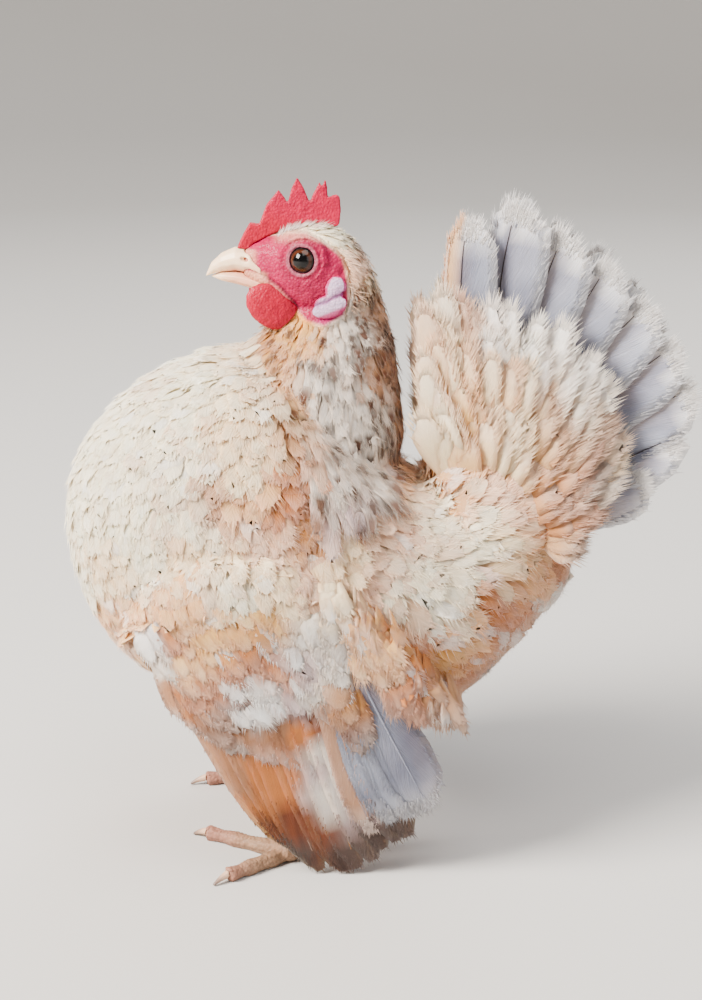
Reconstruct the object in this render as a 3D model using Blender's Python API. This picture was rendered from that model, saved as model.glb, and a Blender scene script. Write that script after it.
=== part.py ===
# A still, life-size model of a serama hen: a very small, upright fowl with a full breast, hanging wings
# and a tail fan held straight up. It faces -X, with its left side towards -Y, and stands on z = 0.
# Forms are worked out in millimetres from the sizes below, and stored in metres.

import math

import bmesh
import bpy
from mathutils import Matrix, Vector
from mathutils.geometry import tessellate_polygon

MM = 0.001
GAP = 0.36          # clearance that parting cuts leave between neighbours
SIDES = {"left": -1.0, "right": 1.0}

# Torso: x, top, bottom, half width. The coat's outer surface, breast first.
TORSO_STATIONS = (
    (-87.4, 110.5, 83.5, 13.5),
    (-83.7, 118.6, 73.0, 22.0),
    (-77.5, 127.2, 62.5, 29.8),
    (-68.5, 135.6, 53.0, 36.0),
    (-56.5, 142.2, 46.0, 41.0),
    (-42.0, 146.2, 42.0, 44.0),
    (-26.0, 144.0, 40.0, 44.8),
    (-9.0, 128.0, 38.5, 44.0),
    (7.0, 112.0, 38.5, 42.0),
    (21.0, 106.5, 41.5, 37.5),
    (34.0, 105.5, 52.5, 31.5),
    (46.0, 103.5, 65.5, 24.0),
    (55.0, 98.0, 75.5, 14.0),
)
TORSO_FRONT = (-89.2, 97.0)
TORSO_REAR = (60.0, 87.5)
TORSO_SQUARENESS = 2.25
TORSO_SIDES = 24
TORSO_STEPS = 17

# Neck: height, front, rear, half width of the hackle's outer surface.
NECK_STATIONS = (
    (96.0, -42.0, 0.0, 26.0),
    (108.0, -47.0, 6.0, 29.0),
    (122.0, -48.0, 8.8, 26.0),
    (136.0, -45.0, 7.8, 21.0),
    (145.0, -40.0, 6.8, 17.0),
    (151.0, -33.0, 5.6, 13.4),
    (158.0, -26.5, 3.4, 9.8),
    (165.0, -20.0, 0.0, 7.0),
)
NECK_SIDES = 20
NECK_CAPS = (4.0, 3.0)

# Head: x, top, bottom, half width.
HEAD_STATIONS = (
    (-36.0, 175.2, 165.6, 3.4),
    (-32.0, 177.4, 162.4, 5.6),
    (-26.0, 180.0, 158.2, 8.5),
    (-19.0, 182.2, 155.4, 10.3),
    (-12.0, 181.6, 153.4, 10.8),
    (-6.0, 177.6, 152.4, 10.4),
    (-1.5, 171.0, 153.0, 8.6),
)
HEAD_FRONT = (-37.4, 170.6)
HEAD_REAR = (2.0, 161.5)
HEAD_SIDES = 16
HEAD_STEPS = 11
HEAD_SQUARENESS = 2.1

EYE_CENTRE = (-19.5, 7.3, 172.9)
EYE_RADIUS = 4.3
LID_RADIUS = 4.3
LID_THICKNESS = 0.75
LID_DEPTH = 2.2
BROW_RADIUS = 6.5
BROW_THICKNESS = 0.6
BROW_DEPTH = 1.9
EYE_LOOKS = (-0.22, 0.95, 0.06)

# The line of the mouth behind the beak, and the ear's opening, as x and height on the side of the head.
MOUTH_LINE = ((-33.0, 168.2), (-30.0, 167.2), (-26.7, 165.6), (-23.7, 164.0), (-21.6, 161.8))
MOUTH_GROOVE = 0.5
EAR_OPENING = (-8.6, 170.2)
EAR_OPENING_SIZE = (1.5, 1.2, 2.0)

# Beak: x, top, bottom, half width of each mandible.
UPPER_BEAK = (
    (-28.0, 169.4, 165.4, 7.5),
    (-31.2, 171.6, 166.4, 6.5),
    (-34.8, 174.7, 167.8, 5.2),
    (-39.0, 175.2, 168.6, 3.9),
    (-43.0, 173.4, 168.3, 2.7),
    (-45.8, 170.8, 167.6, 1.5),
)
UPPER_BACK = (-26.0, 167.4)
UPPER_TIP = (-47.6, 166.9)
UPPER_SIDES = 12
LOWER_BEAK = (
    (-28.5, 166.0, 161.6, 6.7),
    (-32.0, 167.4, 162.8, 5.6),
    (-35.5, 168.2, 163.9, 4.5),
    (-39.0, 168.6, 164.9, 3.4),
    (-43.0, 168.2, 165.8, 2.0),
)
LOWER_BACK = (-26.8, 163.6)
LOWER_TIP = (-46.0, 167.0)
LOWER_SIDES = 10
NOSTRIL = (-36.4, 4.4, 172.4)
NOSTRIL_SIZE = (1.5, 1.4, 0.75)
NOSTRIL_TILT = 18.0

# Comb: the base line along the crown and the back edge, then each point's tip with the reach of its
# shoulders behind and before it, and the valleys between the points.
COMB_BASE = ((-38.7, 172.5), (-33.5, 174.0), (-29.0, 177.0), (-22.0, 180.4), (-10.4, 181.4))
COMB_BACK = ((-9.8, 182.2), (-9.5, 186.0), (-9.8, 189.2))
COMB_POINTS = (
    (-34.8, 181.8, 1.3, 1.8),
    (-26.7, 191.0, 1.1, 3.3),
    (-21.5, 194.5, 1.7, 1.5),
    (-15.3, 193.1, 0.3, 1.2),
    (-13.6, 194.2, 0.3, 0.4),
    (-10.6, 189.8, 0.4, 1.5),
)
COMB_VALLEYS = ((-32.2, 181.5), (-24.1, 187.4), (-18.1, 187.6), (-14.5, 191.4), (-13.0, 188.7))
COMB_FRONT = (-38.6, 174.6)
COMB_SHOULDER = 0.58
COMB_BASE_THICKNESS = 3.4
COMB_TIP_THICKNESS = 1.1
COMB_THICK_HEIGHT = 4.0

WATTLE_CENTRE = (-28.6, 7.2, 159.6)
WATTLE_SIZE = (7.9, 1.8, 5.8)
WATTLE_LEAN = 34.0
WATTLE_FLARE = 8.0
EARLOBE_CENTRE = (-12.6, 11.6, 160.3)
EARLOBE_UPPER = (2.9, 1.5, 3.6)
EARLOBE_LOWER = (5.2, 1.6, 3.2)
EARLOBE_RISE = (1.9, 5.0)
EARLOBE_LEANS = (-18.0, 10.0)

# Wing: the arm's line, then the arcs on which the roots and tips of each tier lie, as x and height.
WING_ARM = ((-69.0, 73.0), (-61.0, 82.0), (-45.0, 87.0), (-27.0, 87.0), (-14.0, 82.0))
WING_ARM_HEIGHT = 11.0
WING_ARM_DEPTH = 4.6
WING_ARM_STEPS = 9
WING_ARM_SIDES = 10
WING_ARM_INSET = 0.6
WING_ARM_SWELL = (0.12, 0.76, 0.6)
WING_ARM_ENDS = (-1.5, 2.0)
WING_TIERS = (
    # count, root arc, tip arc, first and last width, lift off the side, slant
    (9, ((-65.0, 77.0), (-48.0, 86.0), (-31.0, 87.0), (-17.0, 82.0)),
     ((-22.5, 6.0), (-14.0, 0.6), (-4.0, 0.2), (10.0, 13.5)), 11.5, 12.5, 1.1, -0.20),
    (3, ((-20.0, 83.0), (-15.0, 80.0)),
     ((4.0, 19.0), (14.0, 21.5)), 12.0, 15.5, 3.2, -0.14),
    (6, ((-65.0, 82.0), (-48.0, 89.0), (-31.0, 89.0), (-17.0, 84.0)),
     ((-57.0, 53.0), (-42.0, 44.5), (-24.0, 39.0), (-9.0, 46.0)), 12.5, 14.0, 3.0, -0.14),
    (5, ((-64.0, 88.0), (-48.0, 95.0), (-31.0, 95.0), (-17.0, 90.0)),
     ((-64.0, 70.0), (-46.0, 63.0), (-27.0, 60.0), (-12.0, 66.0)), 15.0, 16.0, 4.3, -0.13),
)
WING_ROOT_DIP = 0.35
WING_RISE_SHARE = 0.5
WING_HANG_LOW = 36.0
WING_HANG_HIGH = 44.6
WING_HANG_HEIGHTS = (-8.0, 62.0)
WING_FRONT_TUCK = 13.0
WING_TUCK_SPAN = (34.0, 78.0)
WING_BODY_BLEND = 4.0

# Tail: the rump that carries it, and the fan as x, |y|, height of each feather's bend and tip.
TAIL_CORE = (
    # centre x, height, half depth, half width
    (34.0, 84.0, 20.0, 24.0),
    (37.0, 98.0, 24.5, 28.0),
    (39.0, 112.0, 25.5, 23.0),
    (42.0, 126.0, 22.5, 16.0),
    (44.5, 137.0, 15.0, 9.5),
)
TAIL_CORE_BOTTOM = (34.0, 80.0)
TAIL_CORE_TOP = (46.0, 143.0)
TAIL_CORE_SIDES = 14
TAIL_ROOT = (38.0, 1.6, 108.0)
TAIL_ROOT_STEP = (1.0, 0.9, -1.8)
TAIL_BEND_OUT = (1.2, 0.6)
TAIL_FAN = (
    # bend x, bend height, tip x, tip |y|, tip height, width
    (20.0, 146.0, 26.0, 2.2, 183.0, 14.5),
    (30.0, 152.0, 39.5, 4.6, 187.5, 17.5),
    (40.0, 150.0, 52.5, 7.4, 180.0, 17.5),
    (48.0, 146.0, 65.0, 10.4, 172.0, 17.0),
    (53.0, 139.0, 75.5, 13.4, 161.5, 16.5),
    (57.0, 131.0, 83.5, 16.2, 150.5, 16.0),
    (60.0, 122.0, 88.2, 18.6, 139.0, 15.5),
    (59.0, 113.0, 84.5, 20.4, 125.5, 14.5),
    (56.0, 104.0, 76.5, 21.4, 113.5, 13.5),
)
TAIL_SPLAY = math.radians(26.0)
TAIL_COVERTS = (
    # count, tip arc as x and height, first and last |y| of the tips, width
    (6, ((17.5, 165.0), (30.0, 157.5), (46.0, 156.0), (59.0, 147.0), (67.0, 133.0), (65.0, 113.0)),
     6.0, 24.5, 17.0),
    (5, ((13.6, 145.0), (24.0, 141.0), (40.0, 138.0), (53.0, 130.0), (60.0, 116.0), (59.0, 101.0)),
     12.5, 27.0, 19.0),
)
COVERT_SPLAY = math.radians(40.0)
COVERT_ROOTS = ((24.0, 9.0, 106.0), (46.0, 15.5, 96.0))
COVERT_BEND_SHARES = (0.45, 0.6)
COVERT_BEND_SHIFT = 3.0

# Legs: hip inside the torso, hock, ankle, and each toe's heading, length and claw.
HIP = (-8.0, 24.0, 62.0)
HOCK = (-3.0, 27.0, 35.0)
ANKLE = (-24.3, 28.0, 4.4)
SHANK_TOP = 0.06
SHANK_RADIUS = 3.1
SHANK_SIDES = 10
SHANK_ROWS = ((0.0, 1.18), (0.12, 1.22), (0.3, 1.0), (0.55, 0.95), (0.8, 1.0), (1.0, 1.12))
THIGH_SIDES = 12
THIGH_ROWS = ((0.0, 8.0), (0.3, 10.5), (0.6, 9.5), (0.85, 7.0), (1.05, 4.8))
FOOT_SIZE = (4.4, 4.4, 3.4)
FOOT_OFFSET = (-0.5, 0.0, -1.4)
TOES = (
    # name, degrees inwards from straight ahead, length without claw, joints
    ("middle", 0.0, 27.5, 3),
    ("outer", -68.0, 22.0, 3),
    ("inner", 39.0, 19.0, 3),
    ("hind", 166.0, 12.0, 2),
)
TOE_RADIUS = 2.5
TOE_TAPER = 0.80
TOE_HEIGHT = 1.9
TOE_DROP = 1.2
TOE_LEVEL_SHARE = 0.22
TOE_PAD = 0.32
TOE_SIDES = 7
FOOT_TURN = {"left": 28.0, "right": 8.0}
CLAW_LENGTH = 6.4
CLAW_ROWS = 5
CLAW_SIDES = 7
CLAW_BACK = 0.8
CLAW_ARCH = (0.5, 1.9)
CLAW_RADII = (1.45, 0.35)
LIMB_CAP = 0.5

# A feather's rows from root to tip: the share of its length, and the share of its width.
VANE_ROWS = ((0.0, 0.45), (0.4, 0.92), (0.72, 1.0), (0.92, 0.84), (1.0, 0.36))
VANE_CUP = 0.10
VANE_EDGE = 0.52
VANE_SHAFT = 0.92

FLOOR_BLOCK = 400.0
SHARP_ANGLE = math.radians(40.0)
HALVINGS = 24

COLOURS = {
    # name: red, green, blue, roughness
    "cream_feather": (0.83, 0.74, 0.63, 0.75),
    "buff_feather": (0.62, 0.36, 0.18, 0.75),
    "grey_feather": (0.60, 0.60, 0.66, 0.70),
    "thigh_feather": (0.66, 0.44, 0.28, 0.75),
    "hackle_feather": (0.72, 0.64, 0.54, 0.75),
    "comb_skin": (0.72, 0.03, 0.07, 0.45),
    "face_skin": (0.66, 0.09, 0.14, 0.50),
    "earlobe_skin": (0.78, 0.76, 0.84, 0.50),
    "beak_horn": (0.80, 0.66, 0.52, 0.40),
    "eye_dark": (0.03, 0.012, 0.010, 0.08),
    "leg_scale": (0.72, 0.45, 0.30, 0.50),
    "claw_horn": (0.55, 0.42, 0.36, 0.40),
}


def start_empty():
    for old in list(bpy.data.objects):
        bpy.data.objects.remove(old)


def material(name):
    found = bpy.data.materials.get(name)
    if found:
        return found
    red, green, blue, roughness = COLOURS[name]
    made = bpy.data.materials.new(name)
    made.use_nodes = True
    shader = made.node_tree.nodes["Principled BSDF"]
    shader.inputs["Base Color"].default_value = (red, green, blue, 1.0)
    shader.inputs["Roughness"].default_value = roughness
    shader.inputs["Metallic"].default_value = 0.0
    return made


def add_object(name, points, faces, finish):
    """A closed mesh object from points in millimetres, with its faces pointing out."""
    mesh = bpy.data.meshes.new(name)
    mesh.from_pydata([Vector(p) * MM for p in points], [], faces)
    work = bmesh.new()
    work.from_mesh(mesh)
    bmesh.ops.recalc_face_normals(work, faces=work.faces)
    if work.calc_volume(signed=True) < 0.0:
        bmesh.ops.reverse_faces(work, faces=work.faces)
    work.to_mesh(mesh)
    work.free()
    mesh.materials.append(material(finish))
    made = bpy.data.objects.new(name, mesh)
    bpy.context.scene.collection.objects.link(made)
    return made


def along(points, share):
    """The place at that share of a smooth line through the points."""
    last = len(points) - 1
    place = min(max(share, 0.0), 1.0) * last
    i = min(int(place), last - 1)
    t = place - i
    before, a, b, after = (points[min(max(k, 0), last)] for k in (i - 1, i, i + 1, i + 2))
    return tuple(
        0.5 * (2 * q + (r - p) * t + (2 * p - 5 * q + 4 * r - s) * t ** 2 + (3 * q - p - 3 * r + s) * t ** 3)
        for p, q, r, s in zip(before, a, b, after)
    )


def at_station(stations, key):
    """The sizes of a row of stations at any place along their first value."""
    low, high = stations[0][0], stations[-1][0]
    key = min(max(key, min(low, high)), max(low, high))
    lo_share, hi_share = 0.0, 1.0
    for _ in range(HALVINGS):
        mid = 0.5 * (lo_share + hi_share)
        if (along(stations, mid)[0] < key) == (high > low):
            lo_share = mid
        else:
            hi_share = mid
    return along(stations, 0.5 * (lo_share + hi_share))


def smooth_step(value, low, high):
    t = min(max((value - low) / (high - low), 0.0), 1.0)
    return t * t * (3.0 - 2.0 * t)


def blend(a, b, t):
    return a + (b - a) * t


def ring(centre, across, up, half_width, half_height, count, squareness=2.0):
    """Points of a superellipse round a centre."""
    points = []
    for k in range(count):
        angle = 2.0 * math.pi * (k + 0.5) / count
        c, s = math.cos(angle), math.sin(angle)
        u = math.copysign(abs(c) ** (2.0 / squareness), c) * half_width
        v = math.copysign(abs(s) ** (2.0 / squareness), s) * half_height
        points.append(Vector(centre) + Vector(across) * u + Vector(up) * v)
    return points


def skin_rings(name, rings, first, last, finish):
    """A closed form through rings of equal count, ending in a point at each end."""
    points = [p for one in rings for p in one]
    count = len(rings[0])
    start, end = len(points), len(points) + 1
    points += [Vector(first), Vector(last)]
    faces = []
    for k in range(count):
        after = (k + 1) % count
        faces.append((start, after, k))
        top = (len(rings) - 1) * count
        faces.append((end, top + k, top + after))
        for row in range(len(rings) - 1):
            a, b = row * count + k, row * count + after
            faces.append((a, b, b + count))
            faces.append((a, b + count, a + count))
    return add_object(name, points, faces, finish)


def station_form(name, stations, front, rear, count, finish, steps=0, squareness=2.0):
    """A form of upright sections along X, from stations of x, top, bottom and half width."""
    rows = stations if not steps else [along(stations, i / (steps - 1)) for i in range(steps)]
    rings = [
        ring((x, 0, (top + bottom) / 2), (0, 1, 0), (0, 0, 1), half, (top - bottom) / 2, count, squareness)
        for x, top, bottom, half in rows
    ]
    return skin_rings(name, rings, (front[0], 0, front[1]), (rear[0], 0, rear[1]), finish)


def ellipsoid(name, centre, size, turn, finish, segments=12, rows=7):
    """A closed ellipsoid of half sizes, turned by an Euler angle in degrees."""
    work = bmesh.new()
    bmesh.ops.create_uvsphere(work, u_segments=segments, v_segments=rows, radius=1.0)
    spin = Matrix.Identity(4)
    for angle, axis in zip(turn, "XYZ"):
        spin = Matrix.Rotation(math.radians(angle), 4, axis) @ spin
    place = Matrix.Translation(Vector(centre)) @ spin @ Matrix.Diagonal((*size, 1.0))
    bmesh.ops.triangulate(work, faces=work.faces)
    points = [place @ v.co for v in work.verts]
    faces = [[v.index for v in f.verts] for f in work.faces]
    work.free()
    return add_object(name, points, faces, finish)


def plate(name, middles, normals, edge, spine, finish):
    """A thin closed vane about rows of three points, thickest along its shaft; both faces split alike."""
    rows = len(middles)
    points = []
    for row in range(rows):
        for k in range(3):
            half = (spine if k == 1 else edge) / 2
            lift = normals[row][k] * half
            points += [middles[row][k] + lift, middles[row][k] - lift]

    def corner(row, k, under):
        return (row * 3 + k) * 2 + under

    faces = []
    for row in range(rows - 1):
        for k in range(2):
            near, far = corner(row, k, 0), corner(row + 1, k, 0)
            quad = [near, corner(row, k + 1, 0), corner(row + 1, k + 1, 0), far]
            if k == 0:
                split = ((0, 1, 2), (0, 2, 3))
            else:
                split = ((0, 1, 3), (1, 2, 3))
            for a, b, c in split:
                faces.append((quad[a], quad[b], quad[c]))
                faces.append((quad[c] + 1, quad[b] + 1, quad[a] + 1))
        for k in (0, 2):
            a, b = corner(row, k, 0), corner(row + 1, k, 0)
            side = [(a, b, b + 1), (a, b + 1, a + 1)]
            faces += side if k == 0 else [one[::-1] for one in side]
    for row in (0, rows - 1):
        for k in range(2):
            a, b = corner(row, k, 0), corner(row, k + 1, 0)
            end = [(a, a + 1, b + 1), (a, b + 1, b)]
            faces += end if row == 0 else [one[::-1] for one in end]
    return add_object(name, points, faces, finish)


def remove_object(old):
    mesh = old.data
    bpy.data.objects.remove(old)
    bpy.data.meshes.remove(mesh)


def keep_largest(target):
    """Drops every closed surface but the largest, so that the node is one body with no sealed hollow."""
    work = bmesh.new()
    work.from_mesh(target.data)
    work.verts.ensure_lookup_table()
    unseen = set(work.verts)
    islands = []
    while unseen:
        todo = [unseen.pop()]
        island = set(todo)
        while todo:
            for link in todo.pop().link_edges:
                for v in link.verts:
                    if v in unseen:
                        unseen.discard(v)
                        island.add(v)
                        todo.append(v)
        islands.append(island)
    islands.sort(key=lambda one: surface_area(one), reverse=True)
    spare = [v for island in islands[1:] for v in island]
    bmesh.ops.delete(work, geom=spare, context="VERTS")
    work.to_mesh(target.data)
    work.free()


def surface_area(verts):
    return sum(f.calc_area() for f in {f for v in verts for f in v.link_faces})


def apply_boolean(target, pieces, operation):
    """One Boolean of the target with a collection of closed pieces, applied, with the pieces removed.

    EXACT drops a whole shank when it is cut by its swollen foot, so this uses MANIFOLD throughout.
    """
    group = bpy.data.collections.new(target.name + "_pieces")
    bpy.context.scene.collection.children.link(group)
    for piece in pieces:
        group.objects.link(piece)
    step = target.modifiers.new(operation.lower(), "BOOLEAN")
    step.operation = operation
    step.solver = "MANIFOLD"
    step.operand_type = "COLLECTION"
    step.collection = group
    graph = bpy.context.evaluated_depsgraph_get()
    result = bpy.data.meshes.new_from_object(target.evaluated_get(graph))
    target.modifiers.clear()
    old = target.data
    target.data = result
    bpy.data.meshes.remove(old)
    for piece in pieces:
        remove_object(piece)
    bpy.data.collections.remove(group)
    keep_largest(target)
    return target


def swollen(source, gap=GAP):
    """A copy grown by the gap along its normals, to cut a neighbour clear of it."""
    made = source.copy()
    made.data = source.data.copy()
    made.name = source.name + "_clearance"
    bpy.context.scene.collection.objects.link(made)
    for v in made.data.vertices:
        v.co = v.co + v.normal * gap * MM
    return made


def cut_clear(target, *neighbours):
    return apply_boolean(target, [swollen(one) for one in neighbours], "DIFFERENCE")


def floor_block():
    """What lies under z = 0, to leave small flats where the bird stands."""
    work = bmesh.new()
    bmesh.ops.create_cube(work, size=FLOOR_BLOCK)
    points = [v.co - Vector((0, 0, FLOOR_BLOCK / 2)) for v in work.verts]
    faces = [[v.index for v in f.verts] for f in work.faces]
    work.free()
    return add_object("floor_block", points, faces, "claw_horn")


def make_torso():
    """The trunk with its full breast, to the outer surface of the coat."""
    return station_form("torso", TORSO_STATIONS, TORSO_FRONT, TORSO_REAR, TORSO_SIDES, "cream_feather",
                        TORSO_STEPS, TORSO_SQUARENESS)


def side_reach(station, z, squareness):
    """How far a station's superellipse stands from the middle plane at that height."""
    _, top, bottom, half = station
    rise = abs(z - (top + bottom) / 2) / ((top - bottom) / 2)
    if rise >= 1.0:
        return 0.0
    return half * (1.0 - rise ** squareness) ** (1.0 / squareness)


def torso_half_width(x, z):
    """How far the torso's side stands from the middle plane at that place."""
    return side_reach(at_station(TORSO_STATIONS, x), z, TORSO_SQUARENESS)


def make_neck():
    """The neck under its hackle, standing on the shoulders."""
    rings = [
        ring(((front + rear) / 2, 0, z), (0, 1, 0), (1, 0, 0), half, (rear - front) / 2, NECK_SIDES)
        for z, front, rear, half in NECK_STATIONS
    ]
    low, high = NECK_STATIONS[0], NECK_STATIONS[-1]
    first = ((low[1] + low[2]) / 2, 0, low[0] - NECK_CAPS[0])
    last = ((high[1] + high[2]) / 2, 0, high[0] + NECK_CAPS[1])
    return skin_rings("neck", rings, first, last, "hackle_feather")


def torus(name, centre, axis, radius, thickness, finish, segments=14, sides=6):
    """A closed round ring about an axis."""
    facing = Vector(axis).normalized().to_track_quat("Z", "Y").to_matrix()
    points, faces = [], []
    for i in range(segments):
        turn = 2.0 * math.pi * i / segments
        outward = Vector((math.cos(turn), math.sin(turn), 0.0))
        for k in range(sides):
            roll = 2.0 * math.pi * k / sides
            rise = Vector((0, 0, thickness * math.sin(roll)))
            local = outward * (radius + thickness * math.cos(roll)) + rise
            points.append(Vector(centre) + facing @ local)
            a, b = i * sides + k, i * sides + (k + 1) % sides
            c, d = ((i + 1) % segments) * sides + k, ((i + 1) % segments) * sides + (k + 1) % sides
            faces += [(a, c, d), (a, d, b)]
    return add_object(name, points, faces, finish)


def eye_place(side):
    x, y, z = EYE_CENTRE
    return Vector((x, y * side, z))


def make_eyes():
    return [
        ellipsoid(f"eye_{name}", eye_place(side), (EYE_RADIUS,) * 3, (90, 0, 0), "eye_dark", 14, 8)
        for name, side in SIDES.items()
    ]


def head_half_width(x, z):
    """How far the side of the head stands from the middle plane at that place."""
    return side_reach(at_station(HEAD_STATIONS, x), z, HEAD_SQUARENESS)


def make_head(eyes):
    """The head with the rims of its lids, the folds round them, and the lines of the mouth and ears."""
    head = station_form("head", HEAD_STATIONS, HEAD_FRONT, HEAD_REAR, HEAD_SIDES, "face_skin",
                        HEAD_STEPS, HEAD_SQUARENESS)
    folds = []
    grooves = []
    for side in SIDES.values():
        look = Vector((EYE_LOOKS[0], EYE_LOOKS[1] * side, EYE_LOOKS[2])).normalized()
        lid = eye_place(side) + look * LID_DEPTH
        brow = eye_place(side) + look * BROW_DEPTH
        folds.append(torus("lid", lid, look, LID_RADIUS, LID_THICKNESS, "face_skin", 12, 5))
        folds.append(torus("brow", brow, look, BROW_RADIUS, BROW_THICKNESS, "face_skin", 14, 4))
        mouth = [(x, side * (head_half_width(x, z) + 0.1), z) for x, z in MOUTH_LINE]
        grooves.append(limb("mouth", mouth, [MOUTH_GROOVE] * len(mouth), 6, "face_skin"))
        x, z = EAR_OPENING
        grooves.append(ellipsoid("ear", (x, side * head_half_width(x, z), z), EAR_OPENING_SIZE, (0, 0, 0),
                                 "face_skin", 8, 5))
    apply_boolean(head, folds, "UNION")
    apply_boolean(head, grooves, "DIFFERENCE")
    return cut_clear(head, *eyes)


def make_beak(head):
    """Both mandibles, set over the face, with the nostrils cut in."""
    upper = station_form("beak_upper", UPPER_BEAK, UPPER_BACK, UPPER_TIP, UPPER_SIDES, "beak_horn")
    lower = station_form("beak_lower", LOWER_BEAK, LOWER_BACK, LOWER_TIP, LOWER_SIDES, "beak_horn")
    x, y, z = NOSTRIL
    holes = [
        ellipsoid("nostril", (x, side * y, z), NOSTRIL_SIZE, (0, NOSTRIL_TILT, 0), "beak_horn", 8, 6)
        for side in SIDES.values()
    ]
    apply_boolean(upper, holes, "DIFFERENCE")
    cut_clear(upper, head)
    cut_clear(lower, head, upper)
    return upper, lower


def comb_outline():
    """The blade's outline: along the base, up its back, then over each point towards the beak."""
    outline = [*COMB_BASE, *COMB_BACK]
    valleys = [COMB_BACK[-1], *COMB_VALLEYS[::-1], COMB_FRONT]
    for i, (x, top, behind, before) in enumerate(COMB_POINTS[::-1]):
        rear, front = valleys[i], valleys[i + 1]
        outline.append((x + behind, blend(rear[1], top, COMB_SHOULDER)))
        outline.append((x, top))
        outline.append((x - before, blend(front[1], top, COMB_SHOULDER)))
        outline.append(front)
    return outline


def make_comb(head, beak):
    """A single comb: one upright blade, thicker at its base."""
    outline = comb_outline()
    flat = tessellate_polygon([[Vector((x, z, 0.0)) for x, z in outline]])
    base, top = COMB_BASE[0][1], max(z for _, z in outline)
    points = []
    for x, z in outline:
        upward = smooth_step(z, base + COMB_THICK_HEIGHT, top)
        half = blend(COMB_BASE_THICKNESS, COMB_TIP_THICKNESS, upward) / 2
        points += [(x, -half, z), (x, half, z)]
    faces = []
    for a, b, c in flat:
        faces += [(2 * a, 2 * b, 2 * c), (2 * c + 1, 2 * b + 1, 2 * a + 1)]
    count = len(outline)
    for k in range(count):
        after = (k + 1) % count
        faces += [(2 * k, 2 * after, 2 * after + 1), (2 * k, 2 * after + 1, 2 * k + 1)]
    comb = add_object("comb", points, faces, "comb_skin")
    return cut_clear(comb, head, beak)


def make_wattles(head, neck, beak):
    for name, side in SIDES.items():
        x, y, z = WATTLE_CENTRE
        turn = (side * WATTLE_FLARE, WATTLE_LEAN, 0)
        lobe = ellipsoid(f"wattle_{name}", (x, y * side, z), WATTLE_SIZE, turn, "comb_skin")
        cut_clear(lobe, head, neck, *beak)


def make_earlobes(head, neck):
    for name, side in SIDES.items():
        x, y, z = EARLOBE_CENTRE
        over, rise = EARLOBE_RISE
        low_lean, high_lean = EARLOBE_LEANS
        lobe = ellipsoid(f"earlobe_{name}", (x, y * side, z), EARLOBE_LOWER, (0, low_lean, 0),
                         "earlobe_skin", 10, 7)
        upper = ellipsoid("upper", (x + over, y * side, z + rise), EARLOBE_UPPER, (0, high_lean, 0),
                          "earlobe_skin", 8, 6)
        apply_boolean(lobe, [upper], "UNION")
        cut_clear(lobe, head, neck)


def wing_side(x, z):
    """How far the hanging wing's inner face stands from the middle plane at that place."""
    hang = blend(WING_HANG_LOW, WING_HANG_HIGH, smooth_step(z, *WING_HANG_HEIGHTS))
    hang -= WING_FRONT_TUCK * smooth_step(-x, *WING_TUCK_SPAN)
    body = torso_half_width(x, z)
    overlap = max(WING_BODY_BLEND - abs(hang - body), 0.0) / WING_BODY_BLEND
    return max(hang, body) + overlap * overlap * WING_BODY_BLEND / 4


def side_vane(side, root, tip, width, lift, slant):
    """A feather laid along the wing's face from a root to a tip, both as x and height."""
    root, tip = Vector(root), Vector(tip)
    run = (tip - root).normalized()
    across = Vector((-run.y, run.x))
    middles, normals = [], []
    for share, wide in VANE_ROWS:
        spot = root.lerp(tip, share)
        half = width * wide / 2
        middle, normal = [], []
        for k in (-1, 0, 1):
            x, z = spot + across * half * k
            raised = smooth_step(share, 0.0, WING_RISE_SHARE)
            rise = lift * blend(WING_ROOT_DIP, 1.0, raised) + slant * k * half
            middle.append(Vector((x, side * (wing_side(x, z) + rise), z)))
            slope_x = (wing_side(x + 1, z) - wing_side(x - 1, z)) / 2
            slope_z = (wing_side(x, z + 1) - wing_side(x, z - 1)) / 2
            normal.append(Vector((-slope_x, side, -slope_z)).normalized())
        middles.append(middle)
        normals.append(normal)
    return plate("vane", middles, normals, VANE_EDGE, VANE_SHAFT, "buff_feather")


def make_wing(name, side, torso):
    """A hanging wing: its arm along the trunk with tiers of vanes laid down from it."""
    start, span, power = WING_ARM_SWELL
    rings = []
    for i in range(WING_ARM_STEPS):
        x, z = along(WING_ARM, i / (WING_ARM_STEPS - 1))
        swell = math.sin(math.pi * (start + span * i / (WING_ARM_STEPS - 1))) ** power
        centre = (x, side * (wing_side(x, z) - WING_ARM_INSET), z)
        rings.append(ring(centre, (0, 1, 0), (0, 0, 1), WING_ARM_DEPTH * swell, WING_ARM_HEIGHT * swell,
                          WING_ARM_SIDES))
    ends = [Vector(one[0]).lerp(Vector(one[WING_ARM_SIDES // 2]), 0.5) for one in (rings[0], rings[-1])]
    for end, reach in zip(ends, WING_ARM_ENDS):
        end.x += reach
    wing = skin_rings(f"wing_{name}", rings, ends[0], ends[1], "buff_feather")
    vanes = []
    for count, roots, tips, first, last, lift, slant in WING_TIERS:
        for i in range(count):
            share = i / (count - 1)
            width = blend(first, last, share)
            vanes.append(side_vane(side, along(roots, share), along(tips, share), width, lift, slant))
    apply_boolean(wing, vanes, "UNION")
    cut_clear(wing, torso)
    return apply_boolean(wing, [floor_block()], "DIFFERENCE")


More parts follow.
